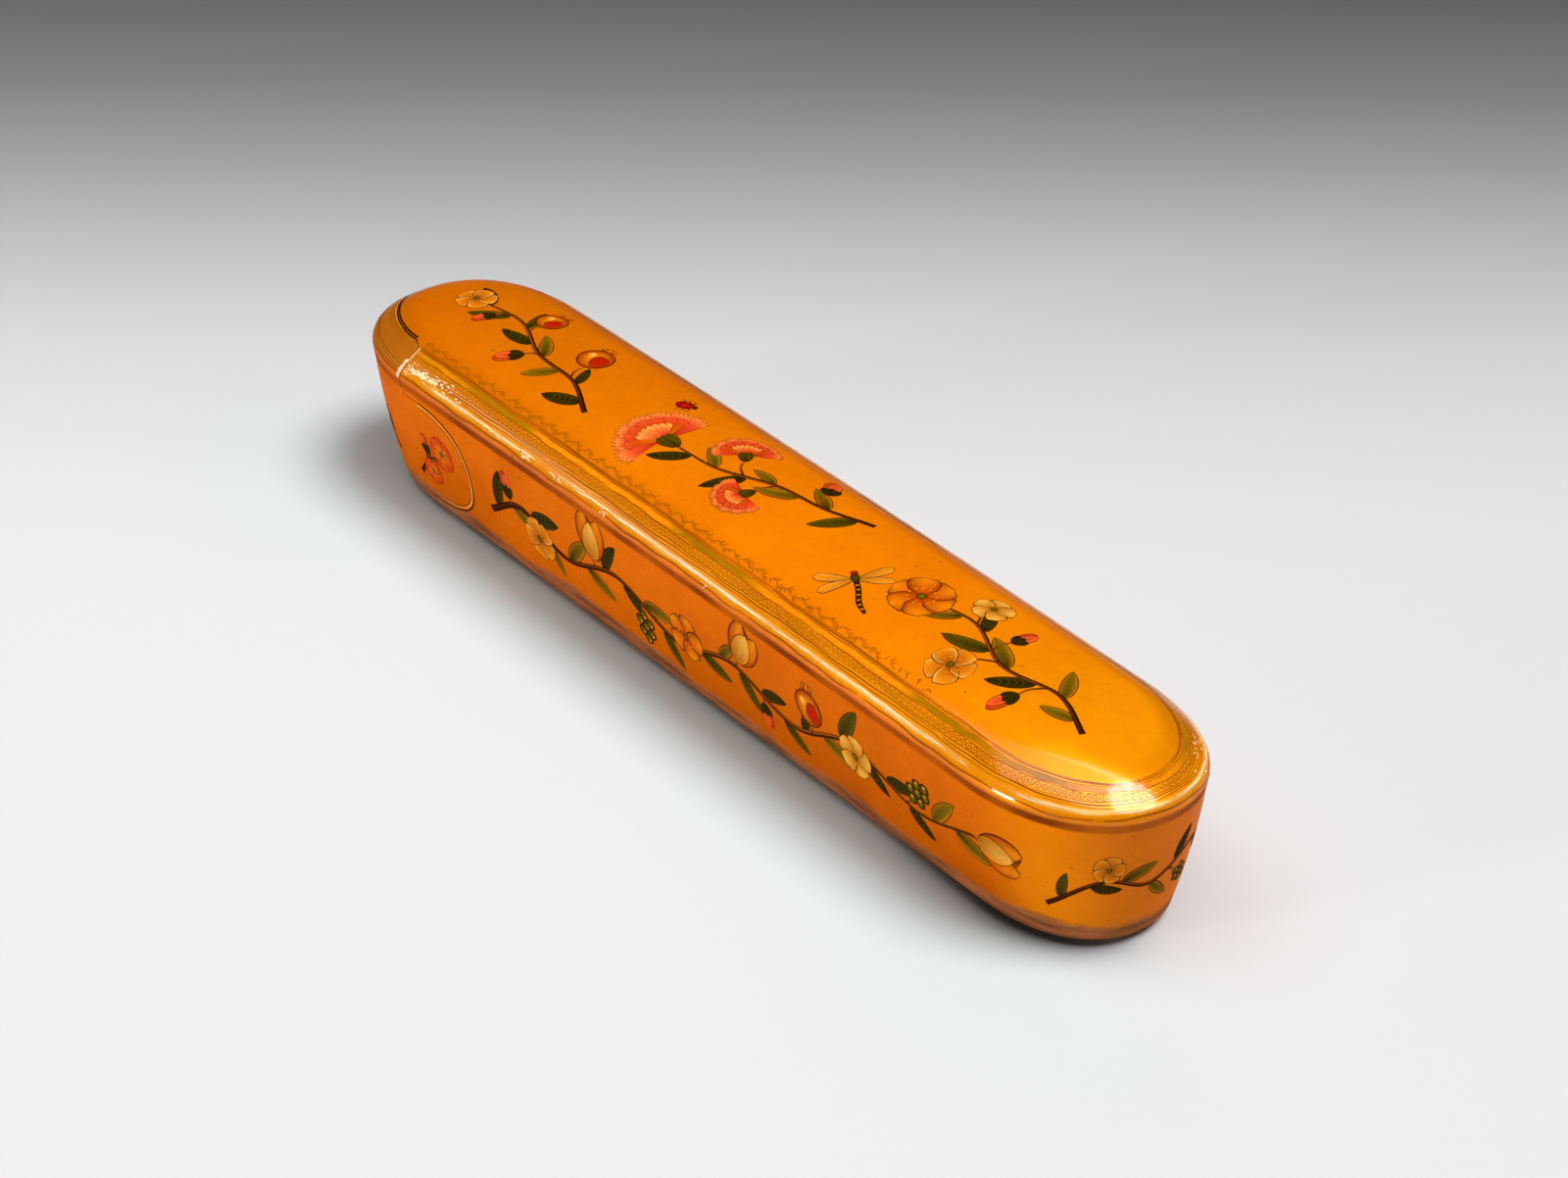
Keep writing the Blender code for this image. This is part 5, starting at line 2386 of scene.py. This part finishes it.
@dataclass
class Inkwell:
    """The brass inkwell and its silk."""

    brass: tuple[str, ...] = ("inkwell_cup", "inkwell_plate", "inkwell_lid", "inkwell_hinge_pin")
    strands: int = 150
    strand_steps: int = 15
    strand_sides: int = 5
    girth: float = 0.11
    margin: float = 0.12

    def build(self, nodes: dict[str, Piece]) -> None:
        """Dresses the brass and makes the silk.

        Args:
            nodes: The solids by name.
        """
        for name in self.brass:
            dress(nodes[name], BRASS.make())
        low, high = (np.array(corner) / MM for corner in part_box("silk_wad"))
        self.build_silk((low + high) / 2, (high - low) / 2)

    def build_silk(self, centre: Array, half: Array) -> None:
        """Makes a tangle of floss in the space of its solid.

        Args:
            centre: Centre of the solid.
            half: Half of its size.
        """
        chance = np.random.default_rng(7)
        points: list[Array] = []
        faces: list[list[int]] = []
        sides = self.strand_sides
        for strand in range(self.strands):
            points.append(self.tube(centre + self.curl(chance) * (half - self.margin)))
            start = strand * self.strand_steps * sides
            for a in range(start, start + (self.strand_steps - 1) * sides, sides):
                for j in range(sides):
                    k = (j + 1) % sides
                    faces.append([a + j, a + k, a + sides + k, a + sides + j])
            last = start + (self.strand_steps - 1) * sides
            faces += [[*range(start, start + sides)][::-1], [*range(last, last + sides)]]
        silk = mesh_object("silk_floss", np.vstack(points), faces)
        tidy_mesh(silk)
        silk.data.shade_smooth()
        silk.data.materials.append(SILK.make())
        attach(silk, "drawer")
        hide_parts("silk_wad")
        log.info("silk floss: %d faces", len(silk.data.polygons))

    def curl(self, chance: np.random.Generator) -> Array:
        """A strand's way inside a ball of radius 1.

        Args:
            chance: The chance numbers.

        Returns:
            Its points.
        """
        t = np.linspace(0, 1, self.strand_steps)
        phase = chance.uniform(0, 2 * np.pi, 3)
        turn = chance.uniform(0.4, 1.3) * 2 * np.pi
        radius = chance.uniform(0.25, 0.96)
        tilt = chance.uniform(-0.9, 0.9)
        x, y = radius * np.cos(turn * t + phase[0]), radius * np.sin(turn * t + phase[1])
        reach = math.sqrt(max(0.0, 1 - radius**2)) * 0.95
        path = np.stack([x, y, reach * np.sin(phase[2] + tilt * 4 * t)], axis=1)
        return path / np.maximum(np.linalg.norm(path, axis=1, keepdims=True) / 0.95, 1)

    def tube(self, path: Array) -> Array:
        """Rings round a strand, thinner towards both ends.

        Args:
            path: The strand's points.

        Returns:
            The points of its rings, in order.
        """
        way = np.gradient(path, axis=0)
        way /= np.linalg.norm(way, axis=1, keepdims=True)
        side = np.cross(way, (0.2, 0.1, 1.0))
        side /= np.linalg.norm(side, axis=1, keepdims=True)
        up = np.cross(side, way)
        t = np.clip(np.linspace(0, 1, len(path)), 0.06, 0.94)
        girth = self.girth * np.sin(np.pi * t) ** 0.3
        angle = np.linspace(0, 2 * np.pi, self.strand_sides + 1)[:-1, None]
        ring = np.cos(angle) * side[:, None] + np.sin(angle) * up[:, None]
        return (path[:, None] + ring * girth[:, None, None]).reshape(-1, 3)


def dress(piece: Piece, material: bpy.types.Material) -> None:
    """Gives a solid a finish in every slot.

    Args:
        piece: The solid.
        material: The finish.
    """
    if not piece.material_slots:
        piece.data.materials.append(material)
    for slot in piece.material_slots:
        slot.material = material


def stand(data: bpy.types.ID, at: Spot, way: Vector) -> Piece:
    """Stands a lamp or a camera up.

    Args:
        data: What it is.
        at: Where it stands, in metres.
        way: The way it looks.

    Returns:
        The object.
    """
    made = bpy.data.objects.new(data.name, data)
    made.location = at
    made.rotation_euler = way.to_track_quat("-Z", "Y").to_euler()
    bpy.context.scene.collection.objects.link(made)
    return made


@dataclass(frozen=True)
class SoftBox:
    """A soft box: its place and aim in metres, its size, its power and its turn."""

    name: str
    at: Spot
    aim: Spot
    wide: float
    high: float
    watts: float
    turn_deg: float = 0.0
    is_shine_only: bool = False

    def hang(self) -> None:
        """Hangs it, lighting all or only shown in glossy surfaces."""
        data = bpy.data.lights.new(self.name, "AREA")
        data.shape, data.energy = "RECTANGLE", self.watts
        data.size, data.size_y = self.wide, self.high
        lamp = stand(data, self.at, Vector(self.aim) - Vector(self.at))
        lamp.rotation_euler.rotate_axis("Z", math.radians(self.turn_deg))
        lamp.visible_diffuse = not self.is_shine_only


@dataclass(frozen=True)
class FarLight:
    """A wide, even light from far off: the way to it, how bright it makes paper, its spread."""

    name: str
    way: Spot
    level: float
    spread_deg: float

    def hang(self) -> None:
        """Hangs it, lighting the whole floor alike."""
        data = bpy.data.lights.new(self.name, "SUN")
        data.energy, data.angle = self.level * math.pi, math.radians(self.spread_deg)
        stand(data, self.way, -Vector(self.way))


TARGET: Spot = (0.0030276, 0.0037078, 0.0173981)


@dataclass
class Studio:
    """Camera, lamps and the pale floor, painted darker away from the camera as shade."""

    camera_at: Spot = (0.5668787, -0.43223, 0.4668554)
    target: Spot = TARGET
    lens: float = 100.926
    lamps: tuple[SoftBox | FarLight, ...] = (
        SoftBox("overhead_box", (0.010, -0.179, 0.90), (0.010, -0.179, 0), 1.22, 0.50, 4.2, 26.0),
        SoftBox("corner_box", (0.10, -0.02, 0.90), (0.10, -0.02, 0), 0.70, 0.40, 8.6, 35.0, True),
        SoftBox("ridge_strip", (-0.68, -0.53, 0.55), TARGET, 0.40, 0.05, 0.10),
        FarLight("back_light", (0.37, 0.22, 0.90), 0.74, 30),
        FarLight("front_fill", (-0.30, -0.95, 0.10), 0.48, 12),
    )
    floor_reach: float = 4.0
    floor_turn: float = 0.025
    bounce_reach: float = 0.024
    bounce_tint: Colour = (0.75, 0.97, 1.0)
    contact_shadow_reach: float = 0.0024
    paper_level: float = 0.90
    floor_tones: tuple[tuple[float, int], ...] = (
        (0.036, 239), (0.066, 236), (0.096, 230), (0.126, 221), (0.156, 206),
        (0.186, 186), (0.216, 163), (0.256, 133), (0.316, 98),
    )

    def build(self) -> None:
        """Makes the camera, the floor, the lamps and the world."""
        scene = bpy.context.scene
        scene.view_settings.view_transform = "Standard"
        self.make_camera(scene)
        self.make_floor()
        for lamp in self.lamps:
            lamp.hang()
        world = bpy.data.worlds.new("studio_world")
        world.use_nodes = True
        background = world.node_tree.nodes["Background"]
        background.inputs["Color"].default_value = (0.02, 0.02, 0.02, 1)
        scene.world = world

    def make_camera(self, scene: bpy.types.Scene) -> None:
        """Makes the camera at the photograph's viewing angle.

        Args:
            scene: The scene.
        """
        data = bpy.data.cameras.new("studio_camera")
        data.lens, data.sensor_width = self.lens, 36.0
        data.clip_start = 0.01
        way = Vector(self.target) - Vector(self.camera_at)
        scene.camera = stand(data, self.camera_at, way)

    def make_floor(self) -> None:
        """Makes the floor, pale under the box and painted grey behind it as shade, tinted cool
        beside its front against the box's orange bounce light, with a painted contact shadow at the
        closed end.
        """
        reach = self.floor_reach / MM
        corners = [(-reach, -reach, 0), (reach, -reach, 0), (reach, reach, 0), (-reach, reach, 0)]
        floor = mesh_object("studio_floor", np.array(corners), [[0, 1, 2, 3]])
        made = bpy.data.materials.new("studio_paper")
        made.use_nodes = True
        graph = Graph(made.node_tree)
        shader = made.node_tree.nodes["Principled BSDF"]
        x, y, _ = graph.axes()
        over = graph.math("SUBTRACT", graph.math("ABSOLUTE", x), FORM.straight * MM)
        over = graph.math("MAXIMUM", over, 0.0)
        # Cool tint painted against the box's orange bounce light.
        cool = graph.mix(self.bounce(graph, y, over), (1.0, 1.0, 1.0), self.bounce_tint)
        paper = graph.mix(1.0, self.paper_tone(graph), cool, "MULTIPLY")
        # Painted contact shadow at the closed end's front.
        dark = graph.times(self.contact_shadow(graph, y, over), graph.ramp(x, 0.05, 0.09))
        tone = graph.mix(dark, paper, (0.0, 0.0, 0.0))
        graph.fill(shader, {"Base Color": tone, "Roughness": 0.9, "Specular IOR Level": 0.1})
        floor.data.materials.append(made)

    def paper_tone(self, graph: Graph) -> Socket:
        """The paper's tone, painted darker away from the camera as shade.

        Args:
            graph: The floor's tree.

        Returns:
            The colour.
        """
        away = Vector(self.target) - Vector(self.camera_at)
        away = Vector((away.x, away.y, 0)).normalized()
        # Turned a little so that the painted shade evens out the light across the floor.
        away += self.floor_turn * Vector((away.y, -away.x, 0))
        depth = graph.node("VectorMath", {0: graph.where(), 1: away}, operation="DOT_PRODUCT")
        first, last = self.floor_tones[0][0], self.floor_tones[-1][0]
        span = {"Value": depth.outputs["Value"], "From Min": first, "From Max": last}
        share = graph.node("MapRange", span).outputs["Result"]
        ramp = graph.node("ValToRGB", {"Fac": share})
        stops = ramp.color_ramp.elements
        while len(stops) < len(self.floor_tones):
            stops.new(0.5)
        for stop, (at, tone) in zip(stops, self.floor_tones):
            stop.position = (at - first) / (last - first)
            stop.color = (*(srgb(tone, tone, tone) * self.paper_level), 1)
        return ramp.outputs["Color"]

    def bounce(self, graph: Graph, y: Socket, over: Socket) -> Socket:
        """Where the front of the box throws orange light on the floor.

        Args:
            graph: The floor's tree.
            y: The place across the box.
            over: How far a place lies beyond the straight sides.

        Returns:
            The share of tint.
        """
        beside = graph.math("SUBTRACT", graph.hypot(over, y), FORM.half_width * MM)
        front = graph.ramp(y, -0.035, 0.015, 1.0, 0.0)
        return graph.times(graph.fade(beside, self.bounce_reach), front)

    def contact_shadow(self, graph: Graph, y: Socket, over: Socket) -> Socket:
        """The painted contact shadow, a dark line where the front of an end meets the floor.

        Args:
            graph: The floor's tree.
            y: The place across the box.
            over: How far a place lies beyond the straight sides.

        Returns:
            The share of painted shadow.
        """
        end = (FORM.end_depth - FORM.end_draw_in) * MM
        side = (FORM.half_width - FORM.side_draw_in) * MM
        ratio = graph.hypot(graph.math("DIVIDE", over, end), graph.math("DIVIDE", y, side))
        beyond = graph.math("SUBTRACT", ratio, 1.0)
        front = graph.ramp(y, -0.018, 0.006, 0.85, 0.0)
        return graph.times(graph.fade(beyond, self.contact_shadow_reach / side), front)


def main() -> None:
    """Builds the studio, the shells, the decoration, the wear, the tray and the inkwell."""
    logging.basicConfig(level=logging.INFO, format="%(name)s %(message)s")
    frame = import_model()
    Studio().build()
    LacquerShell("case_lacquered", "case_sleeve", "case", is_cap=False).build()
    LacquerShell("end_cap_lacquered", "drawer_end_cap", "drawer", is_cap=True).build()
    around, first, inner = OutlineFace().full_turn, SEAM.step_x + SEAM.gap + 0.1, 0.2 - SEAM.step_x
    GiltBorder("case", End.CLOSED, first, around - first).build("case_border")
    cap_lines = ((0.7, 0.1), (1.1, 0.18), (1.5, 0.12))
    cap_border = GiltBorder("drawer", End.PULL, inner, around - inner, True, cap_lines)
    cap_border.build("cap_border")
    Decoration().build()
    Wear().build()
    DrawerTray().build()
    dress(frame["nodes"]["tray_partition"], TRAY.make())
    Inkwell().build(frame["nodes"])


if __name__ == "__main__":
    main()
